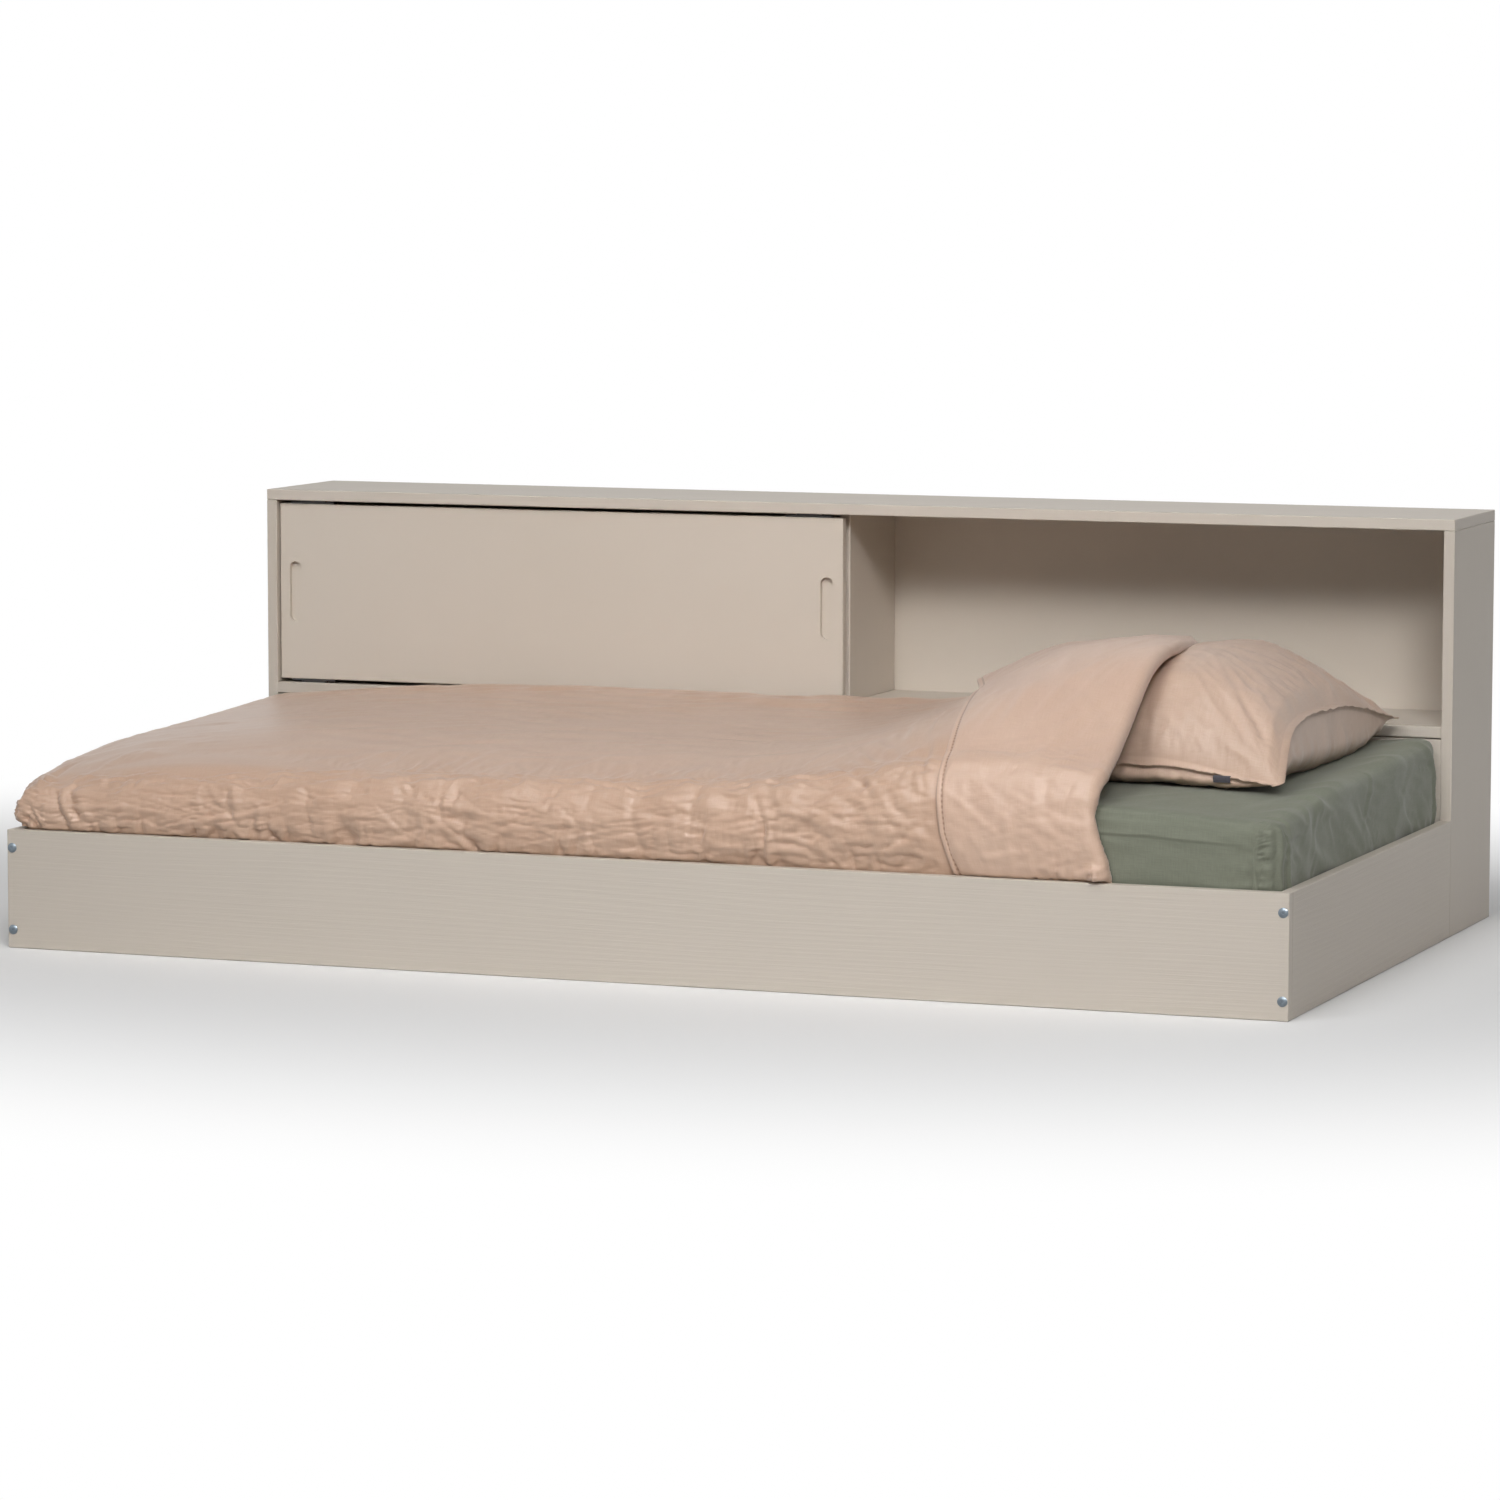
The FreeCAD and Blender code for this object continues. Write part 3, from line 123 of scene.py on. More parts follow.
PAINT = ("B8AFA4", "C2B9AE", "BBB2A6")
along = painted_pine("matt_painted_pine_long", "x", PAINT, 0.75)
athwart = painted_pine("matt_painted_pine_deep", "y", PAINT, 0.8)
upright = painted_pine("matt_painted_pine_upright", "z", PAINT, 0.4)
rubbed_down = painted_pine("matt_painted_pine_rubbed_down", "x", ("BEB5AA", "C1B8AD", "BFB6AB"), 0.05)
dress(along, "front_rail", "cabinet_shelf", "shelf_front_rail", "lower_panel")
dress(rubbed_down, "cabinet_top")
dress(athwart, "end_board_left", "end_board_right")
dress(upright, "cabinet_side_left", "cabinet_side_right", "lower_divider")


# Sliding door, divider and back panel: smooth fibreboard sprayed in the same greige. The door runs in
# the upper and lower tracks, the divider stands between two dowels, and the back is screwed on behind.
ORANGE_PEEL = 1 / 420  # The size of its dimples in metres.


def sprayed_board(name, shade):
    """Sprayed lacquer on fibreboard: even colour with a very fine orange peel."""
    made, tree, shader = finish(name, Roughness=0.47)
    place = add(tree, "TexCoord", out="Object")
    peel = add(tree, "TexNoise", {"Vector": place, "Scale": 1 / ORANGE_PEEL, "Detail": 2})
    cloud = add(tree, "TexNoise", {"Vector": place, "Scale": 3.5, "Detail": 3})
    coat(tree, shader, cloud, colour(shade[0]), colour(shade[1]), peel, 0.25, 0.0002)
    return made


dress(sprayed_board("sprayed_fibreboard", ("C2B8AB", "C8BEB2")), "sliding_door", "cabinet_divider",
      "back_panel")


# Unpainted pine inside the bed: rear stretcher, slat battens and slats. Planed softwood, left bare.
def bare_wood(name, light, dark, ring_pitch, roughness):
    """Planed wood: darker late rings on a pale ground, with a fine fibre."""
    made, tree, shader = finish(name, Roughness=roughness)
    place = add(tree, "TexCoord", out="Object")
    long_way = add(tree, "Mapping", {"Vector": place, "Scale": (1.2, 6, 6)})
    swirl = add(tree, "TexNoise", {"Vector": long_way, "Scale": 1.3, "Detail": 3})
    axes = add(tree, "SeparateXYZ", {"Vector": place}, out=None)
    phase = add(tree, "Math", {0: swirl, 1: 60}, operation="MULTIPLY")
    across = add(tree, "Math", {0: axes["Y"], 1: 2 * math.pi / ring_pitch, 2: phase},
                 operation="MULTIPLY_ADD")
    wave = add(tree, "Math", {0: across}, operation="SINE")
    rings = add(tree, "MapRange", {"Value": wave, "From Min": -1, "From Max": 1})
    thin_way = add(tree, "Mapping", {"Vector": place, "Scale": (12, 600, 600)})
    fibre = add(tree, "TexNoise", {"Vector": thin_way, "Scale": 1, "Detail": 3})
    both = add(tree, "Math", {0: rings, 1: fibre}, operation="MULTIPLY")
    coat(tree, shader, both, colour(light), colour(dark), both, 0.3, 0.0003)
    return made


dress(bare_wood("planed_bare_pine", "E2C798", "C29A62", 0.009, 0.6),
      "rear_stretcher", "slat_batten_front", "slat_batten_back", "bed_slats")

# Dowels: fluted beech, glued into the ends of the boards.
dress(bare_wood("fluted_beech", "D9B78C", "BE9364", 0.004, 0.65), "rail_dowels", "cabinet_dowels")


# Two woven polyester tapes hold the slats at their spacing, stapled below each slat.
def woven_tape(name, light, dark, thread):
    """Plain-woven tape: threads crossing at this spacing in metres."""
    made, tree, shader = finish(name, Roughness=0.85, Sheen_Weight=0.2)
    place = add(tree, "TexCoord", out="Object")
    waves = []
    for way in ("X", "Y"):
        waves.append(add(tree, "TexWave", {"Vector": place, "Scale": math.pi / (10 * thread) * 2,
                                           "Distortion": 0.6, "Detail": 1},
                         bands_direction=way, out="Fac"))
    weave = add(tree, "Math", {0: waves[0], 1: waves[1]}, operation="MAXIMUM")
    coat(tree, shader, weave, colour(dark), colour(light), weave, 0.5, thread / 4)
    return made


dress(woven_tape("woven_polyester_tape", "DAD6C8", "A9A595", 0.0015), "slat_tapes")


# Fittings: bolts, barrel nuts, brackets, screws and cam bolts of turned or pressed steel, zinc
# plated with a faint blue cast. The cam housings are die-cast zinc alloy.
def plated_metal(name, bright, dull, roughness, grit):
    """Bare or plated metal: streaked brightness, and roughness that varies with the grit."""
    made, tree, shader = finish(name, Metallic=1)
    place = add(tree, "TexCoord", out="Object")
    stains = add(tree, "TexNoise", {"Vector": place, "Scale": 0.3 / grit, "Detail": 3})
    grains = add(tree, "TexNoise", {"Vector": place, "Scale": 1 / grit, "Detail": 2})
    rough = add(tree, "MapRange", {"Value": grains, "To Min": roughness - 0.07,
                                   "To Max": roughness + 0.1})
    tree.links.new(rough, shader.inputs["Roughness"])
    coat(tree, shader, stains, colour(dull), colour(bright), grains, 0.15, grit / 4)
    return made


# These colours are darker than bright zinc: painted shade, standing in for dark surroundings reflected in
# the bolt heads.
dress(plated_metal("blue_zinc_plated_steel", "8B959D", "6A747D", 0.3, 0.0008),
      "rail_bolts", "barrel_nuts", "batten_screws", "corner_brackets", "bracket_screws", "cam_bolts",
      "back_panel_screws", "door_screws")
dress(plated_metal("die_cast_zinc_alloy", "A9ABAD", "84868A", 0.5, 0.0006), "cam_housings")


# Tracks, glides and guides: extruded plastic tracks in the paint's colour, moulded nylon glides and
# guides screwed to the door, and soft clear pads stuck on the sides as door stops.
FLOW_PITCH = 1 / 700  # How far apart the flow lines stand, in metres.


def plain_plastic(name, light, dark, stretch, **sockets):
    """Moulded or extruded plastic: faint flow lines along x where it is extruded."""
    made, tree, shader = finish(name, **sockets)
    place = add(tree, "TexCoord", out="Object")
    across = 1 / FLOW_PITCH
    flow_way = add(tree, "Mapping", {"Vector": place, "Scale": (across / stretch, across, across)})
    flow = add(tree, "TexNoise", {"Vector": flow_way, "Scale": 1, "Detail": 2})
    coat(tree, shader, flow, colour(dark), colour(light), flow, 0.2, 0.0002)
    return made


dress(plain_plastic("extruded_track_plastic", "BCB2A3", "B0A696", 60, Roughness=0.42),
      "track_lower", "track_upper")
# The glides and guides are coloured near black: painted shade, so that the gap under the door where they
# sit reads dark.
dress(plain_plastic("moulded_nylon", "3A3836", "2C2A29", 1, Roughness=0.4, Subsurface_Weight=0.1),
      "door_glides", "door_guides")
dress(plain_plastic("clear_soft_pad", "E3E3DF", "D5D5D0", 1, Roughness=0.25, Transmission_Weight=0.6),
      "door_bumpers")


# Mattress: one foam block in a ticking cover, with a piped seam round its top and bottom edges. It
# lies on the slats and can't be seen once the fitted sheet is on.
def points_of(piece):
    """The piece's points, in millimetres."""
    flat = np.empty(len(piece.data.vertices) * 3)
    piece.data.vertices.foreach_get("co", flat)
    return flat.reshape(-1, 3) * 1000


def shape(piece, points):
    """Moves the piece's points to these places, in millimetres."""
    piece.data.vertices.foreach_set("co", (np.asarray(points) / 1000).ravel())
    piece.data.update()


def only(piece):
    bpy.ops.object.select_all(action="DESELECT")
    piece.select_set(True)
    bpy.context.view_layer.objects.active = piece


def smooth_all(piece):
    only(piece)
    bpy.ops.object.shade_smooth()


def paint(piece, material):
    piece.data.materials.clear()
    piece.data.materials.append(material)


def in_edit_mode(piece, work, **settings):
    """Does one edit-mode operator on all of the piece."""
    only(piece)
    bpy.ops.object.mode_set(mode="EDIT")
    bpy.ops.mesh.select_all(action="SELECT")
    work(**settings)
    bpy.ops.object.mode_set(mode="OBJECT")


def thicken(piece, thickness, offset=-1):
    """Gives cloth its thickness in metres: inwards where offset is -1, to both sides where it is 0."""
    only(piece)
    thick = piece.modifiers.new("thickness", "SOLIDIFY")
    thick.thickness = thickness
    thick.offset = offset
    bpy.ops.object.modifier_apply(modifier=thick.name)
    smooth_all(piece)


def near(x, centre, width):
    """1 at the centre, fading away on both sides over this width."""
    return np.exp(-((x - centre) / width) ** 2)


def ramp(x, start, full):
    """0 up to the start, rising evenly to 1."""
    return np.clip((x - start) / (full - start), 0, 1)


def press(points, way=-1):
    """Presses the block down at its front edge and near corners, and lets its far head corner stand up."""
    x, y, z = points.T
    front = 16 * near(y, -566, 60) * ramp(x, 520, 350)
    corner = 28 * near(x, -994, 160) * near(np.minimum(y, 400), -560, 230)
    head = (15 * near(x, 1006, 170) * near(y, -566, 230)
            - 14 * near(x, 1006, 220) * near(y, 330, 260)
            + 5 * near(y, -566, 90) * ramp(x, 560, 660))
    pressed = np.array(points)
    pressed[:, 2] += way * (front + corner + head) * ramp(z, 145, 300)
    return pressed


MATTRESS_EDGE = 38.5
PIPING_PROUD = 0.1
PIPING_DEPTH = 5
core_low, core_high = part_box("mattress")
middle = (core_low + core_high) / 2
bpy.ops.object.select_all(action="DESELECT")
bpy.ops.mesh.primitive_cube_add(size=1, location=middle)
mattress = bpy.context.object
mattress.name = "mattress_block"
mattress.scale = core_high - core_low
bpy.ops.object.transform_apply(location=True, rotation=True, scale=True)
bevel = mattress.modifiers.new("edge", "BEVEL")
bevel.width = MATTRESS_EDGE / 1000
bevel.segments = 8
bpy.ops.object.modifier_apply(modifier=bevel.name)
piping = []
for height in (core_low.z * 1000 + MATTRESS_EDGE, core_high.z * 1000 - MATTRESS_EDGE):
    bpy.ops.mesh.primitive_cylinder_add(vertices=96, radius=0.5, depth=PIPING_DEPTH / 1000)
    cord = bpy.context.object
    ring = points_of(cord)
    way = ring[:, :2] / np.linalg.norm(ring[:, :2], axis=1)[:, None]
    half = np.array((core_high - core_low)[:2]) * 500 + PIPING_PROUD
    rim = way * (half / np.maximum(abs(way), 1e-6)).min(axis=1)[:, None]
    corner = half - MATTRESS_EDGE
    inside = np.clip(rim, -corner, corner)
    out = rim - inside
    out *= (MATTRESS_EDGE + PIPING_PROUD) / np.maximum(np.linalg.norm(out, axis=1), 1e-6)[:, None]
    ring[:, :2] = inside + out + np.array(middle[:2]) * 1000
    ring[:, 2] += height - ring[:, 2].mean()
    shape(cord, ring)
    piping.append(cord)
only(mattress)
for cord in piping:
    cord.select_set(True)
bpy.ops.object.join()
in_edit_mode(mattress, bpy.ops.mesh.subdivide, number_cuts=9)
shape(mattress, press(points_of(mattress)))
smooth_all(mattress)
paint(mattress, woven_tape("mattress_ticking", "E6E1D3", "CFC9B8", 0.002))
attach(mattress, "bed")
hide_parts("mattress")


# Fitted sheet: washed sage cotton, drawn over the mattress. Its corners are gathered by a seam, and
# an elastic hem holds it below. It creases where it is pulled down the sides.
def track(points, steps):
    """Places along a smooth line through these points, and how far along each lies."""
    points = np.asarray(points, float)
    knots = np.concatenate([[0], np.cumsum(np.linalg.norm(np.diff(points, axis=0), axis=1))])
    slopes = np.gradient(points, knots, axis=0)
    lengths = np.minimum(np.asarray(steps, float), knots[-1])
    at = np.clip(np.searchsorted(knots, lengths, side="right") - 1, 0, len(knots) - 2)
    gap = (knots[at + 1] - knots[at])[..., None]
    t = ((lengths - knots[at])[..., None]) / gap
    return ((2 * t ** 3 - 3 * t ** 2 + 1) * points[at] + (t ** 3 - 2 * t ** 2 + t) * gap * slopes[at]
            + (3 * t ** 2 - 2 * t ** 3) * points[at + 1] + (t ** 3 - t ** 2) * gap * slopes[at + 1])


def line_length(points):
    return np.linalg.norm(np.diff(np.asarray(points, float), axis=0), axis=1).sum()


def over_edges(p, q, rect, drops, top, square=2):
    """Cloth laid over a block: p and q run along and across the cloth, drops give the profile over
    the foot, head, front and wall edges, and top gives the height of the block. Its corners are
    round where square is 2, and the sharper the more square is."""
    x0, x1, y0, y1 = rect
    px, py = np.clip(p, x0, x1), np.clip(q, y0, y1)
    dp, dq = p - px, q - py
    r = np.maximum(abs(dp), abs(dq))
    turn = np.where(abs(dp) >= abs(dq), abs(dq) / np.maximum(abs(dp), 1e-9),
                    2 - abs(dp) / np.maximum(abs(dq), 1e-9)) * math.pi / 4
    turn = np.where(r < 1e-9, 0, turn)
    out = np.zeros(p.shape + (2,))
    for chosen, drop in ((dp < 0, drops[0]), (dp > 0, drops[1])):
        if drop is not None:
            out += np.where(chosen, np.cos(turn) ** 2, 0)[..., None] * track(drop, r)
    for chosen, drop in ((dq < 0, drops[2]), (dq > 0, drops[3])):
        if drop is not None:
            out += np.where(chosen, np.sin(turn) ** 2, 0)[..., None] * track(drop, r)
    height = top(px, py)
    wider = (abs(np.cos(turn)) ** square + abs(np.sin(turn)) ** square) ** (-1 / square)
    x = px + np.sign(dp) * np.cos(turn) * wider * out[..., 0]
    y = py + np.sign(dq) * np.sin(turn) * wider * out[..., 0]
    return np.stack([x, y, height + out[..., 1]], axis=-1)


def grid_piece(name, p, q, place):
    """A grid of points over the cloth, placed by a function, with p and q kept as its UV map."""
    bpy.ops.object.select_all(action="DESELECT")
    bpy.ops.mesh.primitive_grid_add(x_subdivisions=len(p) - 1, y_subdivisions=len(q) - 1, size=2)
    piece = bpy.context.object
    piece.name = name
    flat = points_of(piece) / 1000
    i = np.rint((flat[:, 0] + 1) / 2 * (len(p) - 1)).astype(int)
    j = np.rint((flat[:, 1] + 1) / 2 * (len(q) - 1)).astype(int)
    shape(piece, place(p[i], q[j]))
    uv = np.stack([p[i], q[j]], axis=-1) / 1000
    corner = np.empty(len(piece.data.loops), int)
    piece.data.loops.foreach_get("vertex_index", corner)
    piece.data.uv_layers.active.data.foreach_set("uv", uv[corner].ravel())
    return piece, i, j


def spaced(*stops):
    """Places in millimetres from stop to stop, each stretch with its own spacing."""
    places = [stops[0]]
    for spacing, stop in zip(stops[1::2], stops[2::2]):
        count = max(1, round(abs(stop - places[-1]) / spacing))
        places.extend(np.linspace(places[-1], stop, count + 1)[1:])
    return np.array(places)


def normals_of(piece):
    flat = np.empty(len(piece.data.vertices) * 3)
    piece.data.vertices.foreach_get("normal", flat)
    return flat.reshape(-1, 3)


def fold(points, normals, at, facing, along, length, width, height, bend=0):
    """A fold in cloth at one place: a ridge with a furrow beside it, fading towards both ends."""
    along = along - facing * np.dot(along, facing)
    along = along / max(np.linalg.norm(along), 1e-6)
    across = np.cross(facing, along)
    away = points - at
    u = away @ along
    side = (away @ across + bend * u ** 2) / width
    fade = np.exp(-(u / length) ** 4 - ((away @ facing) / (length + 25)) ** 4)
    form = np.exp(-abs(side) ** 1.4) - 0.6 * near(side, 1.5, 0.9)
    return height * fade * form * np.clip(normals @ facing, 0, 1)


def draw(*limits):
    """One random number between each pair of limits, in order. Signs after a pair are drawn too."""
    return [rng.uniform(low, high) * (rng.choice(signs) if signs else 1) for low, high, *signs in limits]


def stroke(where, way, *limits):
    """Chooses one fold after another: a point out of where, its way, then its length, width, height
    and bend between the limits."""
    return lambda row: (rng.choice(where), np.array(way()), *draw(*limits))


def folds(points, normals, chooser, rows):
    """The sum of many folds. chooser gives each one's place, way, length, width, height and bend."""
    total = np.zeros(len(points))
    order = np.argsort(points[:, 0])
    sorted_x = points[order, 0]
    for row in range(rows):
        index, along, length, width, height, bend = chooser(row)
        at = points[index]
        reach = 1.6 * length + 3 * width
        first, last = np.searchsorted(sorted_x, (at[0] - reach, at[0] + reach))
        close = order[first:last]
        close = close[abs(points[close, 1] - at[1]) < reach]
        total[close] += fold(points[close], normals[close], at, normals[index], along, length, width,
                             height, bend)
    return total


def placed_folds(points, normals, facing, corner, rows, longer=0, wider=1, higher=1):
    """The sum of folds at chosen places. A row has two coordinates for each end, which corner turns
    into a point, and then the width and height."""
    total = np.zeros(len(points))
    for a0, b0, a1, b1, width, height in rows:
        first, last = np.array(corner(a0, b0), float), np.array(corner(a1, b1), float)
        length = np.linalg.norm(last - first) / 2 + longer
        total += fold(points, normals, (first + last) / 2, facing, last - first, length, wider * width,
                      higher * height)
    return total


def lumps(x, y, seed):
    """Smooth random heights from -1 to 1, about one lump to each unit of x and y."""
    ways = np.random.default_rng(seed).uniform(0, 2 * math.pi, (97, 89))
    x, y = np.asarray(x, float) + 4000, np.asarray(y, float) + 4000
    ix, iy = np.floor(x).astype(int), np.floor(y).astype(int)
    fx, fy = x - ix, y - iy
    sx, sy = (f * f * f * (f * (f * 6 - 15) + 10) for f in (fx, fy))
    corner = []
    for ax in (0, 1):
        for ay in (0, 1):
            way = ways[(ix + ax) % 97, (iy + ay) % 89]
            corner.append(np.cos(way) * (fx - ax) + np.sin(way) * (fy - ay))
    low = corner[0] + (corner[1] - corner[0]) * sy
    high = corner[2] + (corner[3] - corner[2]) * sy
    return (low + (high - low) * sx) * 1.5


def crumple(p, q, long, wide, turn, seed, sharp=1.5):
    """Sharp-ridged creases of about this length and width in millimetres, turned from the p way."""
    turn = math.radians(turn)
    along = (p * math.cos(turn) + q * math.sin(turn)) / long
    across = (q * math.cos(turn) - p * math.sin(turn)) / wide
    bent = lumps(along * 0.8, across * 0.3, seed + 1)
    ridge = 1 - abs(lumps(along + 0.3 * bent, across + 0.9 * bent, seed)) * 2.4
    return np.clip(ridge, 0, 1) ** sharp


def patch(p, q, size, seed, least=0.0):
    """Where on the cloth creases gather: from least to 1, in patches of this size."""
    return least + (1 - least) * np.clip(lumps(p / size, q / size, seed) * 1.6 + 0.5, 0, 1)


def crumples(p, q, rows):
    """The sum of many crumples. A row has height, length, width, turn and seed, and then, where they
    gather in patches, the patch's size, its seed and the least share outside it."""
    total = 0
    for height, long, wide, turn, seed, *gathered in rows:
        layer = height * crumple(p, q, long, wide, turn, seed)
        total = total + (layer * patch(p, q, *gathered) if gathered else layer)
    return total


def limited(heights, most):
    """Heights eased off towards the most that they may be."""
    return most * np.tanh(heights / most)


sheet_low, sheet_high = (np.array(corner) * 1000 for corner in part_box("fitted_sheet"))
EDGE = 40
quarter = np.linspace(0, math.pi / 2, 7)
arc = [(EDGE * math.sin(a), EDGE * (math.cos(a) - 1)) for a in quarter]
side_height = sheet_high[2] - sheet_low[2]
under = [(EDGE * math.cos(a), -side_height + EDGE * (1 - math.sin(a))) for a in quarter]
sheet_drop = arc + [(EDGE, -side_height / 2)] + under + [(-20, -side_height)]
SQUARENESS = 0.42
sharp_arc = [(EDGE * math.sin(a) ** SQUARENESS, EDGE * (math.cos(a) ** SQUARENESS - 1))
             for a in np.linspace(0.004, 1.566, 15)]
sharp_drop = [(0, 0)] + sharp_arc + [(EDGE, -side_height / 2)] + under + [(-20, -side_height)]
sheet_rect = (sheet_low[0] + EDGE, sheet_high[0] - EDGE, sheet_low[1] + EDGE, sheet_high[1] - EDGE)
drop_length = line_length(sheet_drop)
sheet_p = spaced(sheet_rect[0] - drop_length, 22, sheet_rect[0], 40, 450, 9, sheet_rect[1], 3.4,
                 sheet_rect[1] + 75, 4.6, sheet_rect[1] + drop_length)
sheet_q = spaced(sheet_rect[2] - drop_length, 4.2, sheet_rect[2] - 92, 2.1, sheet_rect[2] - 22, 3.8,
                 sheet_rect[3], 8, sheet_rect[3] + drop_length)


def sheet_place(p, q):
    """Round below the duvet, and drawn tight over the mattress's edges where it is seen."""
    rounded = over_edges(p, q, sheet_rect, (sheet_drop,) * 4, lambda x, y: sheet_high[2] + 0 * x)
    tight = over_edges(p, q, sheet_rect, (sharp_drop,) * 4, lambda x, y: sheet_high[2] + 0 * x, 6)
    share = (ramp(p, 630, 730) * np.clip((400 - q) / 300, 0.85, 1))[..., None]
    return rounded + share * (tight - rounded)


sheet, sheet_i, sheet_j = grid_piece("fitted_sheet_cover", sheet_p, sheet_q, sheet_place)
rng = np.random.default_rng(11)
points, facing = points_of(sheet), normals_of(sheet)
head_end = np.flatnonzero((points[:, 0] > sheet_rect[1] + 38) & (points[:, 2] > 165) & (points[:, 2] < 285))
front_side = np.flatnonzero((points[:, 1] < sheet_rect[2] - 38) & (points[:, 0] > 650)
                            & (points[:, 2] > 165))
top_head = np.flatnonzero((points[:, 2] > 299) & (points[:, 0] > 700))


def end_fold(row):
    slope = rng.choice([-1, 1], p=[0.3, 0.7]) * rng.uniform(0.3, 1.6)
    return (rng.choice(head_end), np.array([0, 1, slope]),
            *draw((30, 90), (6, 12), (0.8, 2.4), (-0.002, 0.002)))


side_fold = stroke(front_side, lambda: (1, 0, rng.uniform(-0.5, 0.5)),
                   (30, 110), (7, 14), (0.3, 0.9), (-0.001, 0.001))
top_fold = stroke(top_head, lambda: (rng.uniform(0.2, 1), 1, 0),
                  (50, 140), (9, 18), (0.4, 1.2), (-0.001, 0.001))
raised = folds(points, facing, end_fold, 24) + folds(points, facing, side_fold, 40)
raised += folds(points, facing, top_fold, 30)
sheet_p_at, sheet_q_at = sheet_p[sheet_i], sheet_q[sheet_j]
past_head, past_front = sheet_p_at - sheet_rect[1], sheet_rect[2] - sheet_q_at
on_end = ramp(past_head, 20, 60) * (past_front < 30)
raised += on_end * crumples(sheet_p_at, sheet_q_at, (
    (7.0, 260, 110, 62, 101), (4.5, 200, 40, 74, 105, 160, 107), (2.6, 160, 15, 80, 121, 120, 123)))
rim_waves = near(past_head, 25, 30) * (past_front < 0)
raised += rim_waves * 6 * crumple(sheet_p_at, sheet_q_at, 220, 150, 50, 109)
reach = np.maximum(past_head, past_front)
around = np.arctan2(past_front, past_head) * 45
at_corner = ((past_head > 0) & (past_front > 0)) * ramp(reach, 20, 45)
raised += at_corner * (1.6 * crumple(reach, around, 70, 9, 0, 111, 1.2)
                       + 2.6 * near(around, 37, 16)
                       + 7.5 * near(around, 47, 9) * crumple(around, reach, 40, 9, 14, 113, 1.1)
                       - 7.0 * near(around, 36, 2.4))
near_corner = near(past_head, -12, 22) * ramp(past_front, 15, 45)
raised += near_corner * 3.0 * crumple(reach, sheet_p_at, 50, 9, 0, 117)
piped = near(past_front, 37, 4.5) * ramp(points[:, 0], 600, 660)
raised += 1.8 * piped * ramp(points[:, 0], 1010, 980)
above = points[:, 2] - 261 - 1.5 * lumps(points[:, 0] / 60, 0 * points[:, 0], 119)
pulled = np.where(above > 0, np.exp(-above / 15), near(above, 0, 1.2))
raised += 3.2 * pulled * (past_front > 48) * ramp(points[:, 0], 955, 885)
raised = limited(np.maximum(raised, 0), 9) + 0.6
shape(sheet, press(points + facing * raised[:, None]))
thicken(sheet, 0.0012)


def woven_cloth(name, light, dark, thread, lustre, rough):
    """Woven cotton: fine threads both ways on the cloth's own map, slubs, and a soft pile of light."""
    made, tree, shader = finish(name, Roughness=rough, Sheen_Weight=lustre, Sheen_Roughness=0.45)
    place = add(tree, "TexCoord", out="UV")
    threads = []
    for way, stretch in (("x", (1, 0.05, 1)), ("y", (0.05, 1, 1))):
        lines = add(tree, "Mapping", {"Vector": place, "Scale": stretch})
        threads.append(add(tree, "TexNoise", {"Vector": lines, "Scale": 1 / thread, "Detail": 2}))
    weave = add(tree, "Math", {0: threads[0], 1: threads[1]}, operation="ADD")
    halved = add(tree, "Math", {0: weave, 1: 0.5}, operation="MULTIPLY")
    cloud = add(tree, "TexNoise", {"Vector": place, "Scale": 9, "Detail": 4})
    tone = add(tree, "Math", {0: cloud, 1: 0.5, 2: halved}, operation="MULTIPLY_ADD")
    share = add(tree, "MapRange", {"Value": tone, "From Min": 0.45, "From Max": 1.05})
    mixed = add(tree, "MixRGB", {"Fac": share, "Color1": colour(dark), "Color2": colour(light)})
    tree.links.new(mixed, shader.inputs["Base Color"])
    puckers = add(tree, "TexNoise", {"Vector": place, "Scale": 55, "Detail": 3, "Distortion": 1.2})
    fine = add(tree, "Bump", {"Height": halved, "Strength": 0.25, "Distance": 0.0003})
    bump = add(tree, "Bump", {"Height": puckers, "Normal": fine, "Strength": 0.25, "Distance": 0.0015})
    tree.links.new(bump, shader.inputs["Normal"])
    return made


paint(sheet, woven_cloth("washed_sage_cotton", "7C7F70", "676A5B", 0.0012, 0.15, 0.8))
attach(sheet, "bed")
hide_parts("fitted_sheet")


# Duvet: a filled cotton satin cover. It lies over the bed, is tucked down inside the rail and the
# foot board, and climbs the pillow at the head.
HEIGHTS = np.array((
    (-965, -530, 270), (-965, -410, 290), (-965, -290, 300), (-965, -90, 306), (-965, 180, 316),
    (-965, 296, 320), (-888, -530, 278), (-888, -470, 295), (-888, -290, 310), (-715, -470, 304),
    (-378, -470, 314), (-50, -470, 318), (180, -480, 324), (-715, -530, 285), (-378, -530, 296),
    (-50, -530, 300), (150, -530, 306), (270, -530, 318), (380, -530, 335), (490, -530, 353),
    (600, -530, 352), (738, -530, 342),
    (-700, -100, 332), (-700, 296, 342), (-300, -100, 338), (-300, 296, 350), (50, -100, 338),
    (100, 296, 350), (200, -300, 339), (270, -300, 352), (350, -400, 366), (485, -500, 372),
    (469, -400, 402), (430, -200, 414), (398, -94, 408), (364, 6, 394), (330, 106, 384),
    (296, 206, 374), (262, 296, 362), (448, -94, 440), (496, 6, 464), (431, 206, 438),
    (398, 296, 418), (570, 6, 472), (602, -94, 481), (655, 6, 482), (680, -94, 490), (710, 6, 479),
    (600, -400, 430), (590, -300, 462), (590, -200, 482), (738, -507, 352), (738, -434, 392),
    (738, -370, 436), (738, -320, 466), (738, -246, 486), (735, -170, 490), (725, -97, 486),
    (680, 106, 470), (655, 206, 457), (640, 290, 434), (500, 250, 436)), float)


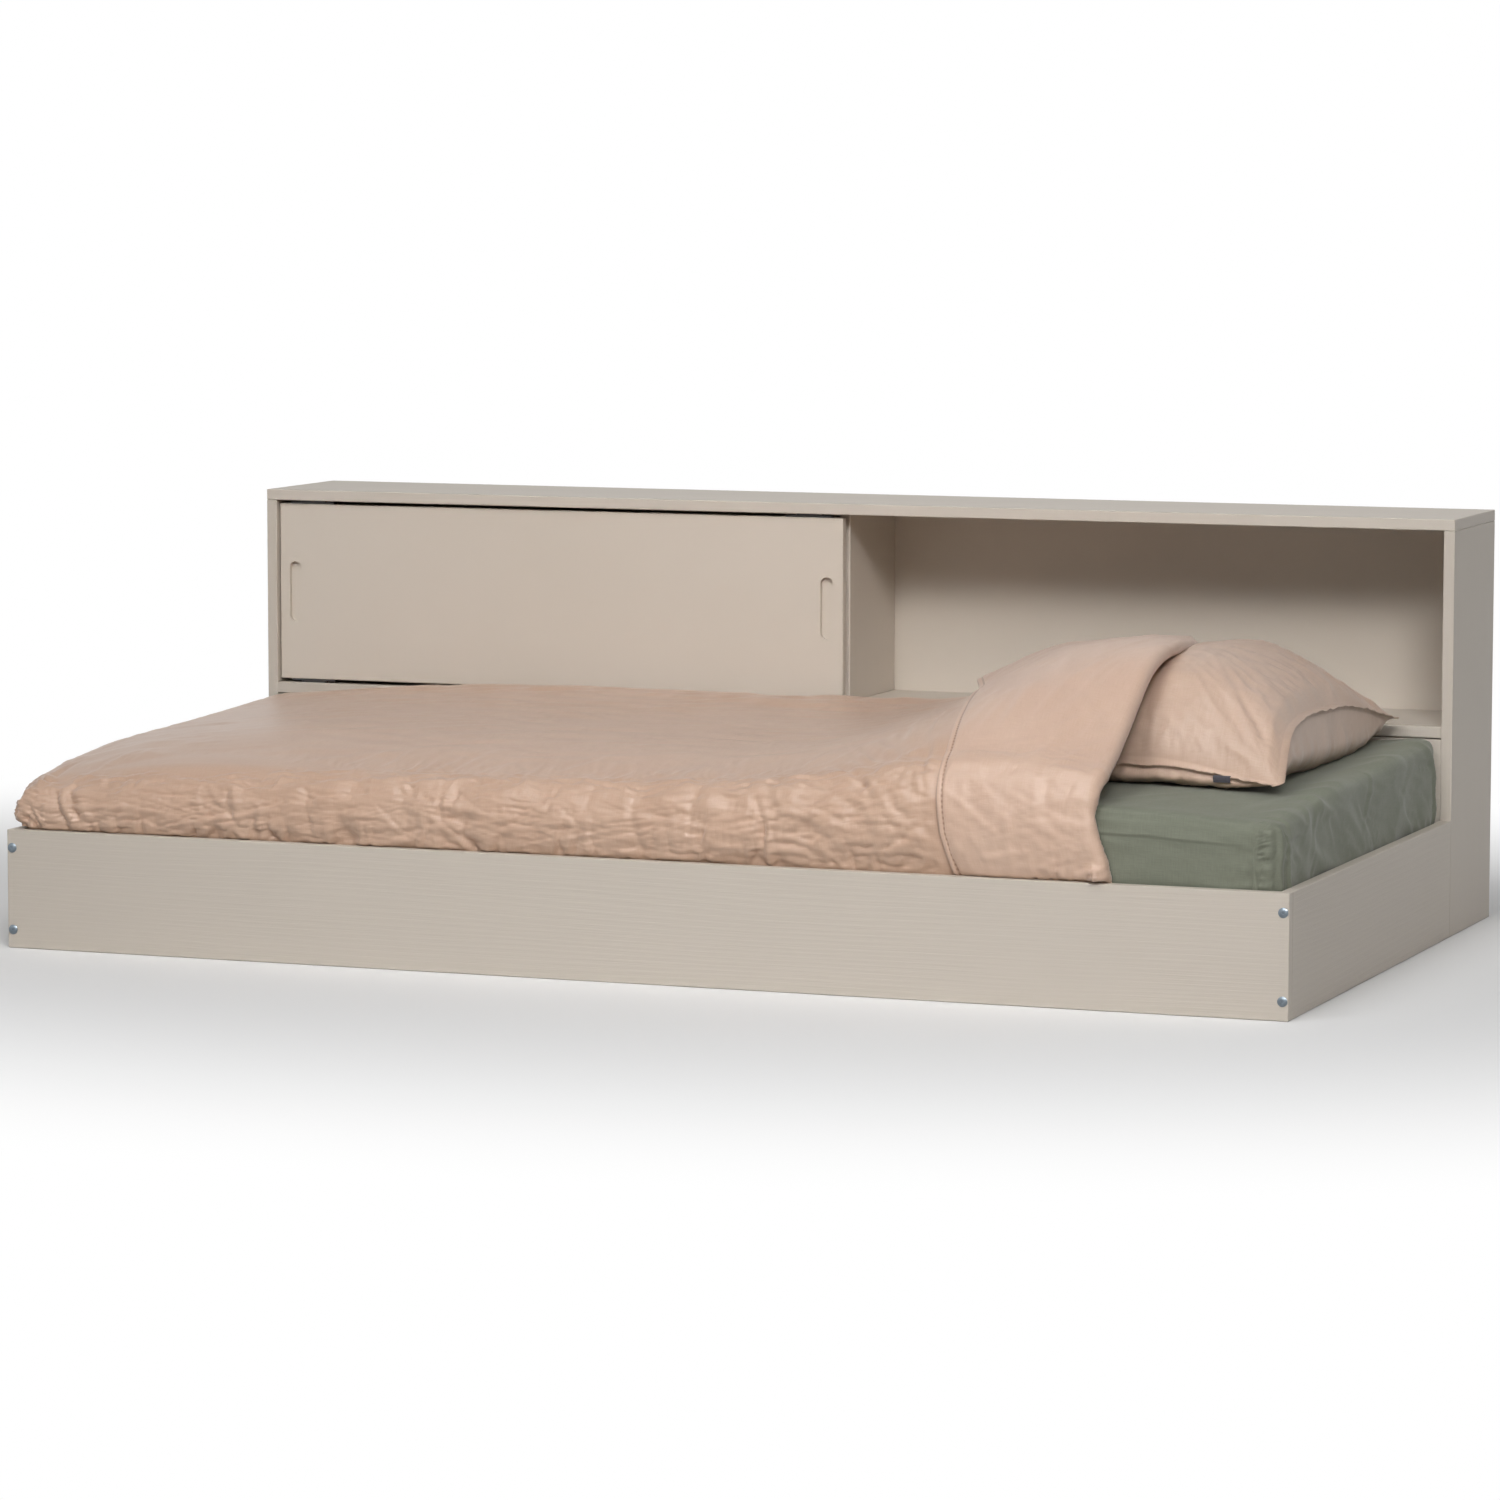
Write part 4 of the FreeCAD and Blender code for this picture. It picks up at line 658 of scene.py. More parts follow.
def plate(points):
    """The bent-plate surface through the given heights: its weights and the last three terms."""
    flat = points[:, :2] / 1000
    apart = np.linalg.norm(flat[:, None] - flat[None], axis=-1)
    kernel = np.where(apart > 0, apart ** 2 * np.log(np.maximum(apart, 1e-9)), 0)
    kernel += np.eye(len(flat)) * 2e-4
    linear = np.hstack([np.ones((len(flat), 1)), flat])
    whole = np.block([[kernel, linear], [linear.T, np.zeros((3, 3))]])
    return np.linalg.solve(whole, np.concatenate([points[:, 2], np.zeros(3)]))


weights = plate(HEIGHTS)


def cover_height(x, y):
    """How high the duvet's top lies at this place, in millimetres."""
    total = weights[-3] + weights[-2] * x / 1000 + weights[-1] * y / 1000
    for (px, py, pz), weight in zip(HEIGHTS, weights):
        apart = ((x - px) ** 2 + (y - py) ** 2) / 1e6
        total = total + weight * 0.5 * apart * np.log(np.maximum(apart, 1e-12))
    return total


COVER_RECT = (-965, 2000, -530, 296)
DROP_FACING = np.array((0, -1, 0.2)) / 1.02
FRONT_DROP = ((0, 0), (19, -7), (34, -19), (45, -36), (51, -56), (53, -77), (52, -98), (47, -119),
              (41, -137), (39, -160))
FOOT_DROP = ((0, 0), (20, -3), (37, -10), (51, -23), (60, -40), (65, -62), (64, -84), (56, -108),
             (45, -128), (42, -150))
WALL_DROP = ((0, 0), (14, -3), (24, -11), (30, -23), (31, -40))
front_length, foot_length = line_length(FRONT_DROP), line_length(FOOT_DROP)
wall_length = line_length(WALL_DROP)


def cover(p, q):
    """The duvet's outer surface. Its drops are drawn out or shortened to end at one height."""
    places = over_edges(p, q, COVER_RECT, (FOOT_DROP, None, FRONT_DROP, WALL_DROP), cover_height)
    top = cover_height(np.clip(p, *COVER_RECT[:2]), np.clip(q, *COVER_RECT[2:]))
    down = places[..., 2] - top
    front = q < COVER_RECT[2]
    reach = np.where(front | (p < COVER_RECT[0]), (top - 158) / 157, 1)
    places[..., 2] = top + down * reach
    past_foot, past_front = np.maximum(COVER_RECT[0] - p, 0), np.maximum(COVER_RECT[2] - q, 0)
    share = np.minimum(past_foot, past_front) / np.maximum(np.maximum(past_foot, past_front), 1e-9)
    corner = np.array((COVER_RECT[0], COVER_RECT[2]))
    fuller = (1 + 0.22 * share ** 2 * (share > 0))[..., None]
    flat = places[..., :2]
    places[..., :2] = np.where(share[..., None] > 0, corner + (flat - corner) * fuller, flat)
    return places


hem_line = np.array(((-3000, 522), (-700, 522), (-640, 500), (-590, 494), (-560, 492), (-530, 489),
                     (-500, 485), (-400, 469), (-200, 430), (-94, 396), (6, 362), (106, 330),
                     (206, 298), (340, 262), (3000, 262)), float)
fold_line = np.array(((-3000, 757), (-685, 757), (-660, 752), (-635, 741), (-605, 733), (-575, 734),
                      (-545, 741), (-500, 740), (-440, 738), (-320, 738), (-246, 738), (-170, 735),
                      (-97, 726), (6, 706), (106, 680), (206, 655), (340, 632), (3000, 632)), float)


def hem_at(q):
    return np.interp(q, hem_line[:, 0], hem_line[:, 1])


def fold_at(q):
    return np.interp(q, fold_line[:, 0], fold_line[:, 1])


CLOTH = {"quality": 6, "mass": 0.25, "tension_stiffness": 20, "compression_stiffness": 20,
         "shear_stiffness": 8, "bending_stiffness": 0.6, "tension_damping": 8, "compression_damping": 8,
         "shear_damping": 8, "air_damping": 2, "vertex_group_mass": "pins",
         "vertex_group_shrink": "swell", "shrink_min": 0}
SETTLE_FRAMES = 14


def settle(piece, grow, held, cap):
    """Lets the cloth grow by these shares and buckle in a short simulation, where it isn't held. Then
    limits how far a point has moved, in millimetres."""
    before = points_of(piece)
    pins = piece.vertex_groups.new(name="pins")
    swell = piece.vertex_groups.new(name="swell")
    for level in np.unique(np.round(held, 2)):
        if level > 0:
            pins.add([int(v) for v in np.flatnonzero(np.round(held, 2) == level)], float(level), "REPLACE")
    for level in np.unique(np.round(grow, 3)):
        share = float(level / max(grow.max(), 1e-9))
        swell.add([int(v) for v in np.flatnonzero(np.round(grow, 3) == level)], share, "REPLACE")
    only(piece)
    cloth = piece.modifiers.new("cloth", "CLOTH")
    for setting, value in CLOTH.items():
        setattr(cloth.settings, setting, value)
    cloth.settings.shrink_max = -float(grow.max())
    cloth.settings.effector_weights.gravity = 0
    cloth.point_cache.frame_start = 1
    cloth.point_cache.frame_end = SETTLE_FRAMES
    for step in range(1, SETTLE_FRAMES + 1):
        bpy.context.scene.frame_set(step)
    bpy.ops.object.modifier_apply(modifier=cloth.name)
    bpy.context.scene.frame_set(1)
    moved = points_of(piece) - before
    far = np.linalg.norm(moved, axis=1)
    shape(piece, before + moved * (cap * np.tanh(far / cap) / np.maximum(far, 1e-6))[:, None])
    piece.vertex_groups.clear()


main_p = spaced(COVER_RECT[0] - foot_length, 3.5, COVER_RECT[0], 3.6, 560)
main_q = spaced(COVER_RECT[2] - front_length, 2.7, COVER_RECT[2] + 25, 7, COVER_RECT[3], 5,
                COVER_RECT[3] + wall_length)


def main_place(p, q):
    """The main part ends under the cuff, a little past its hem."""
    reach = hem_at(q) + 45
    run = np.where(p > 100, 100 + (p - 100) * (reach - 100) / (560 - 100), p)
    return cover(run, q)


duvet, duvet_i, duvet_j = grid_piece("duvet_cover", main_p, main_q, main_place)
rng = np.random.default_rng(23)
points, facing = points_of(duvet), normals_of(duvet)
flat_p, flat_q = main_p[duvet_i], main_q[duvet_j]
front_drop = np.flatnonzero((flat_q < COVER_RECT[2] - 5) & (flat_q > COVER_RECT[2] - 150)
                            & (flat_p > COVER_RECT[0] - 40))
front_low = np.flatnonzero((points[:, 1] < -560) & (points[:, 2] > 186) & (points[:, 2] < 196))
shoulder = np.flatnonzero((flat_q > COVER_RECT[2] - 40) & (flat_q < COVER_RECT[2] + 60) & (flat_p > -960))
top_area = np.flatnonzero((flat_q > COVER_RECT[2] + 40) & (flat_q < COVER_RECT[3]) & (flat_p > -960)
                          & (flat_p < 420))
foot_drop = np.flatnonzero((flat_p < COVER_RECT[0] - 5) & (flat_p > COVER_RECT[0] - 140) & (flat_q < 296))
foot_low = np.flatnonzero((points[:, 0] < -1000) & (points[:, 2] > 186) & (points[:, 2] < 196))
below_hem = np.flatnonzero((flat_p > 330) & (flat_q < -380) & (flat_q > COVER_RECT[2] - 130))
wall_edge = np.flatnonzero((flat_q > 190) & (flat_q < 300) & (flat_p > -900) & (flat_p < 250))


def drop_crease(row):
    way = rng.choice(3, p=[0.72, 0.16, 0.12])
    slope = (rng.normal(0, 0.2), rng.choice([-1, 1]) * rng.uniform(0.5, 1.2), rng.uniform(4, 9))[way]
    size = draw((20, 80), (16, 45), (12, 30))[way]
    return (rng.choice(front_drop), np.array([1, 0, slope]), size,
            *draw((2.4, 4.2), (0.6, 1.8, -1, 1), (-0.004, 0.004)))


def tuck(row):
    low = foot_low if row % 4 == 3 else front_low
    return (rng.choice(low), np.array([rng.uniform(-0.3, 0.3), rng.uniform(-0.3, 0.3), 1]),
            rng.uniform(14, 42), rng.uniform(4, 9), -rng.uniform(1.5, 5), rng.uniform(-0.004, 0.004))


def fan_crease(row):
    """Creases that spread from the place where the cuff's hem meets the rail."""
    index = rng.choice(below_hem)
    away = points[index] - np.array([520, -583, 187])
    return index, away + rng.normal(0, 12, 3), *draw((30, 95), (6, 12), (0.8, 2.8), (-0.002, 0.002))


billow = stroke(front_drop, lambda: (rng.normal(0, 0.25), 0, 1),
                (45, 80), (14, 26), (1.2, 3.4), (-0.002, 0.002))
drop_fold = stroke(front_drop, lambda: (1, 0, rng.normal(0, 0.5)),
                   (35, 110), (6, 11), (0.8, 2, -1, 1), (-0.003, 0.003))
shoulder_crease = stroke(shoulder, lambda: (rng.uniform(-0.8, 0.8), 1, 0),
                         (14, 45), (4, 10), (0.4, 1.5), (-0.004, 0.004))
top_crease = stroke(top_area, lambda: (1, rng.normal(0, 0.28), 0),
                    (50, 200), (8, 22), (0.3, 1.3, -1, 1), (-0.0012, 0.0012))
wall_crease = stroke(wall_edge, lambda: (1, rng.normal(0.1, 0.3), 0),
                     (40, 130), (9, 20), (1, 3), (-0.001, 0.001))
foot_crease = stroke(foot_drop, lambda: (0, 1, rng.normal(0, 0.6)),
                     (20, 70), (5, 11), (0.8, 2.4), (-0.003, 0.003))
# Pleats and puckers seen on the drop: x and z of both ends, width and height, in millimetres.
PLEATS = ((-956, 254, -926, 187, 9, -8), (-932, 256, -908, 206, 9, -5), (-944, 250, -916, 188, 7, 4),
          (-1008, 214, -980, 188, 6, -3), (-878, 282, -862, 256, 7, -2.5), (-826, 278, -806, 248, 7, -2),
          (-659, 262, -639, 187, 8, -5), (-611, 216, -607, 187, 6, -4), (-650, 214, -630, 187, 5, 3),
          (-590, 200, -572, 184, 9, -7), (-413, 253, -357, 200, 4, 3), (-307, 230, -251, 188, 4, 3.4),
          (-367, 197, -267, 232, 5, 3), (-737, 239, -601, 245, 3.5, 2), (-737, 205, -574, 233, 5, 2.6),
          (-540, 283, -517, 255, 5, -2.4), (-430, 278, -420, 256, 4, -2), (-300, 267, -298, 234, 4, -2.6),
          (-272, 282, -279, 250, 4, -2.2), (-520, 236, -507, 190, 5, -2.6), (-214, 262, -116, 255, 4, 2.6),
          (-214, 208, -160, 232, 5, 3), (-160, 232, -60, 226, 5, -2.4), (-20, 250, 60, 246, 5, 2.6),
          (10, 262, 30, 190, 8, -3), (66, 256, 78, 192, 7, -4), (120, 192, 150, 250, 7, 5),
          (150, 246, 196, 262, 6, 3), (206, 285, 220, 258, 6, -4), (223, 250, 225, 188, 5.5, -7),
          (210, 246, 196, 190, 8, 4), (238, 262, 330, 270, 5, 3), (240, 214, 300, 206, 5, 3),
          (493, 255, 382, 197, 6, 4), (473, 270, 388, 212, 6, 3.4), (424, 236, 406, 196, 6, -4.5),
          (460, 236, 420, 190, 7, 4), (356, 270, 300, 220, 7, 3.4), (330, 290, 250, 236, 6, 2.6))
raised = folds(points, facing, billow, 60) + folds(points, facing, drop_fold, 60)
raised += placed_folds(points, facing, DROP_FACING, lambda x, z: (x, -580, z), PLEATS, 4)
raised += folds(points, facing, tuck, 95) + folds(points, facing, top_crease, 170)
raised += folds(points, facing, wall_crease, 45) + folds(points, facing, foot_crease, 26)
raised += folds(points, facing, fan_crease, 70)
down = np.maximum(COVER_RECT[2] - flat_q, COVER_RECT[0] - flat_p)
on_drop = ramp(down, -5, 40)
around = np.where(COVER_RECT[0] - flat_p > COVER_RECT[2] - flat_q, flat_q, flat_p)
foot_side = COVER_RECT[0] - flat_p > COVER_RECT[2] - flat_q
on_drop *= np.where(foot_side, np.clip((-flat_q - 380) / 140, 0.12, 1), 1)
raised += on_drop * crumples(around, down, (
    (3.0, 260, 40, 4, 460, 90, 463, 0.3), (2.3, 200, 24, -13, 400, 90, 403, 0.1),
    (2.1, 170, 22, 17, 370, 90, 373, 0.1), (3.6, 70, 40, 84, 270, 90, 273, 0.2)))
on_top = ramp(down, -5, -65)
raised += on_top * crumples(flat_p, flat_q, ((1.3, 190, 26, 8, 301, 190, 303),
                                             (0.7, 90, 14, -6, 305, 120, 307)))
raised = limited(raised, 9) * (1 - 0.85 * near(points[:, 0], hem_at(flat_q), 22))
shape(duvet, points + facing * raised[:, None])
held = ramp(flat_q, COVER_RECT[2] - 125, COVER_RECT[2] - 137)
held = np.maximum(held, ramp(flat_p, COVER_RECT[0] - 115, COVER_RECT[0] - 127))
held = np.maximum(held, ramp(flat_q, 318, 326))
held = np.maximum(held, (flat_p > 550) * 1.0)
grow = np.where(flat_q < COVER_RECT[2] + 20, 0.016, 0.012)
grow = np.where(flat_p < COVER_RECT[0] + 30, 0.012, grow)
settle(duvet, grow, held, 4.5)
points, facing = points_of(duvet), normals_of(duvet)
raised = folds(points, facing, drop_crease, 320) + folds(points, facing, shoulder_crease, 150)
raised += on_drop * crumples(around, down, (
    (1.9, 240, 9, 3, 840, 70, 843, 0.3), (1.8, 190, 8.5, -12, 790, 70, 793),
    (1.7, 160, 8.5, 15, 760, 70, 763), (1.3, 120, 6.5, 6, 720, 70, 723, 0.2),
    (1.3, 60, 9, 82, 660, 70, 663)))
on_shoulder = near(down, -5, 40)
raised += on_shoulder * crumples(around, down, ((1.2, 60, 12, 74, 309, 90, 311, 0.2),))
raised *= 1 - 0.85 * near(points[:, 0], hem_at(flat_q), 22)
shape(duvet, points + facing * limited(raised, 4)[:, None])


def keep_clear(piece, gap):
    """Keeps cloth this far outside the sheet, and its drops inside the rail and the foot board."""
    at = press(points_of(piece), 1)
    inner = np.clip(at, sheet_low + EDGE, sheet_high - EDGE)
    out = at - inner
    far = np.linalg.norm(out, axis=1)
    pushed = inner + out * (EDGE + gap) / np.maximum(far, 1e-6)[:, None]
    at = np.where(((far > 1e-6) & (far < EDGE + gap))[:, None], pushed, at)
    at = press(at)
    below = at[:, 2] < 186.6
    at[:, 1] = np.where(below & (at[:, 1] < -560), np.maximum(at[:, 1], -574.8), at[:, 1])
    at[:, 0] = np.where(below & (at[:, 0] < -985), np.maximum(at[:, 0], -1011), at[:, 0])
    shape(piece, at)


keep_clear(duvet, 6)
thicken(duvet, 0.005)
satin = woven_cloth("peach_cotton_satin", "C2A590", "B4937C", 0.0011, 0.25, 0.38)
paint(duvet, satin)
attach(duvet, "bed")
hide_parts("duvet")


# Cuff: the head end of the duvet folded back over itself. Its free hem is turned and stitched
# twice, and the fold stands up in a soft roll against the pillow.
CUFF_WIDTH = 250
CUFF_THICK = 11
HEM = ((0, 2), (0.7, 5.5), (2, 7.8), (4, 8.4), (6.5, 8.5), (8.6, 7.8), (9.6, 6.6), (10.6, 7.6), (13, 9),
       (20, 10), (35, 11), (3000, 11))
HEM_END = 20
ROLL_LENGTH = 40
ROLL_END = CUFF_WIDTH + ROLL_LENGTH
cuff_a = spaced(0, 1, 12, 2, HEM_END, 5, CUFF_WIDTH, 4, ROLL_END, 8, ROLL_END + 40)
cuff_q = spaced(COVER_RECT[2] - front_length + 12, 3, COVER_RECT[2] + 30, 6, COVER_RECT[3], 5,
                COVER_RECT[3] + wall_length)


def cuff_place(a, q):
    """Across the cuff, a runs from the hem to the fold, then round the roll and back below it."""
    roll = 12 + 5 * near(q, -400, 120)
    hem, fold_x = hem_at(q), fold_at(q)
    step = ramp(a, CUFF_WIDTH, ROLL_END) * math.pi
    back = np.maximum(a - ROLL_END, 0)
    stretched = (fold_x - roll - hem - HEM_END) / (CUFF_WIDTH - HEM_END)
    across = np.where(a < HEM_END, a, HEM_END + (a - HEM_END) * stretched)
    run = np.where(a > CUFF_WIDTH, fold_x - roll, hem + across) + roll * np.sin(step) - back
    lift = np.where(a > CUFF_WIDTH, CUFF_THICK - roll * (1 - np.cos(step)), np.interp(a, *zip(*HEM)))
    loose = 10 * near(q, -110, 55) + 8 * near(q, -600, 32)
    lift = lift + near(a, 0, 26) * loose
    low = cover(run, q)
    step_p, step_q = cover(run + 1, q) - low, cover(run, q + 1) - low
    up = np.cross(step_p, step_q)
    up /= np.maximum(np.linalg.norm(up, axis=-1), 1e-9)[..., None]
    return low + up * lift[..., None]


cuff, cuff_i, cuff_j = grid_piece("duvet_cuff", cuff_a, cuff_q, cuff_place)
rng = np.random.default_rng(37)
points, facing = points_of(cuff), normals_of(cuff)
flat_a, flat_q = cuff_a[cuff_i], cuff_q[cuff_j]
cuff_low = np.flatnonzero((flat_q < -520) & (flat_a > 25) & (flat_a < CUFF_WIDTH))
cuff_face = np.flatnonzero((flat_q > -560) & (flat_q < 150) & (flat_a > 20) & (flat_a < 235))
cuff_tuck = np.flatnonzero((points[:, 2] > 186) & (points[:, 2] < 197) & (flat_a < CUFF_WIDTH))


def cuff_pucker(row):
    return (rng.choice(cuff_tuck), np.array([rng.uniform(-0.4, 0.4), 0, 1]), rng.uniform(14, 36),
            rng.uniform(4, 8), -rng.uniform(1.5, 4), 0)


low_crease = stroke(cuff_low, lambda: (1, 0, rng.normal(0, 0.7)),
                    (18, 55), (5, 10), (0.5, 1.8), (-0.003, 0.003))
face_crease = stroke(cuff_face, lambda: (rng.normal(-0.3, 0.4), 1, 0.4),
                     (60, 170), (10, 24), (0.4, 1.4), (-0.001, 0.001))
raised = folds(points, facing, low_crease, 26) + folds(points, facing, face_crease, 26)
raised += folds(points, facing, cuff_pucker, 14)
low_part = ramp(flat_q, COVER_RECT[2] + 70, COVER_RECT[2] - 20)
raised += low_part * crumples(flat_a, flat_q, ((1.8, 150, 30, 24, 401, 80, 403, 0.2),))
raised += crumples(flat_a, flat_q, ((1.8, 170, 34, 64, 413, 120, 415),))
raised = limited(raised, 9) * np.clip(flat_a / 20, 0.12, 1)
shape(cuff, points + facing * raised[:, None])
held = ramp(flat_q, COVER_RECT[2] - 120, COVER_RECT[2] - 132)
held = np.maximum(held, (flat_a < 12) * 1.0)
held = np.maximum(held, (flat_a > CUFF_WIDTH + 44) * 1.0)
held = np.maximum(held, ramp(flat_q, 318, 326))
settle(cuff, np.full(len(points), 0.012), held, 4)
points, facing = points_of(cuff), normals_of(cuff)
CUFF_PLEATS = ((640, 232, 720, 200, 6, 4.5), (560, 214, 640, 204, 5, 3), (600, 262, 690, 228, 5.5, 3.6),
               (700, 262, 726, 210, 6, -3.5), (520, 230, 546, 190, 5, 4), (536, 246, 566, 190, 6, -4),
               (650, 282, 730, 256, 5, 2.6), (590, 252, 640, 214, 5, -2.6), (690, 214, 734, 196, 5, -4),
               (575, 240, 640, 250, 4, 2.4), (640, 206, 712, 196, 4.5, 3), (560, 196, 620, 200, 4, 2.4))
bent = np.array(points)
for way, seed in ((0, 421), (2, 423)):
    bent[:, way] += (11 * lumps(points[:, 0] / 70, points[:, 2] / 60, seed)
                     + 5 * lumps(points[:, 0] / 26, points[:, 2] / 24, seed + 1))
raised = placed_folds(bent, facing, DROP_FACING, lambda x, z: (x, -588, z), CUFF_PLEATS, higher=0.5)
CUFF_FOLDS = ((622, -560, 606, -622, 8, 4), (606, -610, 604, -678, 6, 3.6), (628, -510, 640, -600, 8, 3),
              (645, -470, 634, -590, 9, 3), (564, -500, 552, -580, 9, 2.2), (590, -470, 584, -560, 8, 1.8),
              (530, -560, 540, -610, 6, 2.4), (660, -400, 640, -520, 12, 2.2), (586, -590, 582, -640, 5, 2),
              (660, -560, 668, -610, 6, -2), (600, -300, 560, -440, 14, 2), (690, -300, 676, -440, 14, 1.8))
laid = np.stack([points[:, 0] + 9 * lumps(points[:, 0] / 60, flat_q / 90, 425), flat_q, 0 * flat_q], axis=1)
level = np.tile((0.0, 0.0, 1.0), (len(points), 1))
on_face = (flat_a < CUFF_WIDTH) * 1.0
raised += on_face * placed_folds(laid, level, level[0], lambda x, q: (x, q, 0), CUFF_FOLDS, 6, 1.5, 0.7)
raised *= patch(points[:, 0], flat_q, 45, 427, 0.35)
raised += low_part * crumples(flat_a, flat_q, (
    (1.5, 150, 9, 10, 850, 70, 853), (1.3, 120, 8, -20, 820, 70, 823), (1.2, 90, 10, 76, 790, 70, 793)))
raised = limited(raised, 7) * np.clip(flat_a / 20, 0.12, 1)
knot = near(flat_a, 246, 17) * near(flat_q, COVER_RECT[2] - 149, 12)
knot *= 22 * (0.75 + 0.6 * crumple(flat_a, flat_q, 30, 8, 20, 419))
shape(cuff, points + facing * raised[:, None] + knot[:, None] * (0, -1, 0))
keep_clear(cuff, 5.5)
thicken(cuff, 0.0045)
reverse = woven_cloth("peach_cotton_satin_reverse", "CDB19D", "BF9F8A", 0.0011, 0.25, 0.42)
tree = reverse.node_tree
shader = tree.nodes["Principled BSDF"]
# The hem's turned edge and a band along its stitch line are coloured dark brown: painted shade where the
# edge and the stitched groove lie in shadow. The dashes along the line stand for the stitch thread itself.
STITCH_LINE, STITCH_PITCH = 0.0096, 0.006
place = add(tree, "TexCoord", out="UV")
across_hem = add(tree, "SeparateXYZ", {"Vector": place}, out=None)
off_line = add(tree, "Math", {0: across_hem["X"], 1: STITCH_LINE}, operation="SUBTRACT")
off_line = add(tree, "Math", {0: off_line}, operation="ABSOLUTE")
on_line = add(tree, "MapRange", {"Value": off_line, "From Min": 0.0008, "From Max": 0.0022,
                                 "To Min": 1, "To Max": 0})
stitches = add(tree, "Math", {0: across_hem["Y"], 1: 2 * math.pi / STITCH_PITCH}, operation="MULTIPLY")
stitches = add(tree, "Math", {0: stitches}, operation="SINE")
stitches = add(tree, "MapRange", {"Value": stitches, "From Min": -1, "To Min": 0.45})
stitches_and_groove_shade = add(tree, "Math", {0: on_line, 1: stitches}, operation="MULTIPLY")
hem_edge_painted_shade = add(tree, "MapRange", {"Value": across_hem["X"], "From Min": 0.0012, "From Max": 0.0028,
                                   "To Min": 0.8, "To Max": 0})
shaded = add(tree, "Math", {0: stitches_and_groove_shade, 1: hem_edge_painted_shade}, operation="MAXIMUM")
cloth_tone = shader.inputs["Base Color"].links[0].from_socket
hem_painted_shade = add(tree, "MixRGB", {"Fac": shaded, "Color1": cloth_tone, "Color2": colour("8F705C")})
tree.links.new(hem_painted_shade, shader.inputs["Base Color"])
paint(cuff, reverse)
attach(cuff, "bed")
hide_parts("duvet")


# Pillow: a 60 by 70 cm filled pillow in a cotton satin case, sewn all round with a narrow stitched
# edge. Its seams stand up off the bed and its underside bulges below them.
FRONT_SEAM = ((355, -352, 311), (470, -338, 326), (600, -333, 333), (700, -335, 332), (790, -337, 330),
              (860, -343, 322), (908, -350, 315), (944, -356, 311))
HEAD_SEAM = ((944, -356, 311), (936, -318, 343), (928, -268, 376), (922, -190, 392), (921, -60, 394),
             (923, 60, 390), (929, 170, 374), (937, 240, 360), (944, 303, 348))
WALL_SEAM = ((355, 311, 348), (470, 292, 362), (652, 285, 372), (830, 290, 366), (904, 299, 354),
             (944, 303, 348))
FOOT_SEAM = ((355, -352, 311), (374, -200, 338), (380, -20, 348), (374, 180, 346), (355, 311, 348))
CROWN = ((0, 348), (0.03, 372), (0.08, 398), (0.16, 420), (0.32, 447), (0.5, 466), (0.62, 480), (0.70, 486),
         (0.75, 485), (0.79, 480), (0.86, 464), (0.92, 446), (0.965, 424), (1, 394))


def seam_at(line, share):
    return track(line, np.asarray(share) * line_length(line) * 0.99999)


def between_seams(u, v):
    """A surface stretched between the four seams."""
    front, wall = seam_at(FRONT_SEAM, u), seam_at(WALL_SEAM, u)
    foot, head = seam_at(FOOT_SEAM, v), seam_at(HEAD_SEAM, v)
    u, v = u[..., None], v[..., None]
    corners = [np.array(c, float) for c in (FRONT_SEAM[0], FRONT_SEAM[-1], WALL_SEAM[0], WALL_SEAM[-1])]
    flat = ((1 - u) * (1 - v) * corners[0] + u * (1 - v) * corners[1]
            + (1 - u) * v * corners[2] + u * v * corners[3])
    return (1 - v) * front + v * wall + (1 - u) * foot + u * head - flat


def pillow_top(u, v):
    place = between_seams(u, v)
    rise = np.interp(u, *zip(*CROWN)) - between_seams(u, 0 * v + 0.5)[..., 2]
    fuller = ramp(u, 0.95, 0.65)
    across = np.clip(1 - abs(2 * v - 1) ** (2.4 + 1.6 * fuller), 0, 1)
    place[..., 2] += rise * across ** (0.72 - 0.22 * fuller)
    return place


def pillow_below(u, v):
    place = between_seams(u, v)
    sag = 150 * np.clip(1 - abs(2 * u - 1) ** 5, 0, 1) ** 0.8 * np.clip(1 - abs(2 * v - 1) ** 3, 0, 1)
    middle_v, middle_u = 1 - abs(2 * v - 1) ** 4, 1 - abs(2 * u - 1) ** 6
    place[..., 0] += 32 * near(1 - u, 0.05, 0.04) * middle_v
    place[..., 1] -= 24 * near(v, 0.04, 0.032) * middle_u
    low = place[..., 2] - sag
    place[..., 2] = 301 + np.logaddexp(0, (low - 301) / 6) * 6
    return place


PILLOW_EDGE = 9
side_u = 0.5 - 0.5 * np.cos(np.linspace(0, math.pi, 157))
side_u = 0.6 * side_u + 0.4 * np.linspace(0, 1, 157)
side_v = 0.5 - 0.5 * np.cos(np.linspace(0, math.pi, 173))
side_v = 0.6 * side_v + 0.4 * np.linspace(0, 1, 173)
top, top_i, top_j = grid_piece("pillow_case", side_u, side_v, lambda u, v: pillow_top(u, v) + (0, 0, 0.8))
low, low_i, low_j = grid_piece("pillow_low", side_u, side_v, lambda u, v: pillow_below(u, v) - (0, 0, 0.8))
in_edit_mode(low, bpy.ops.mesh.flip_normals)
layers = ((top, top_i, top_j), (low, low_i, low_j))
rng = np.random.default_rng(41)


def seam_crease(where, spread, *limits):
    """Chooses creases that run from the seams towards the pillow's middle."""
    def chosen(row):
        index = rng.choice(where)
        inwards = points.mean(axis=0) - points[index]
        return index, inwards + rng.normal(0, spread, 3), *draw(*limits)
    return chosen


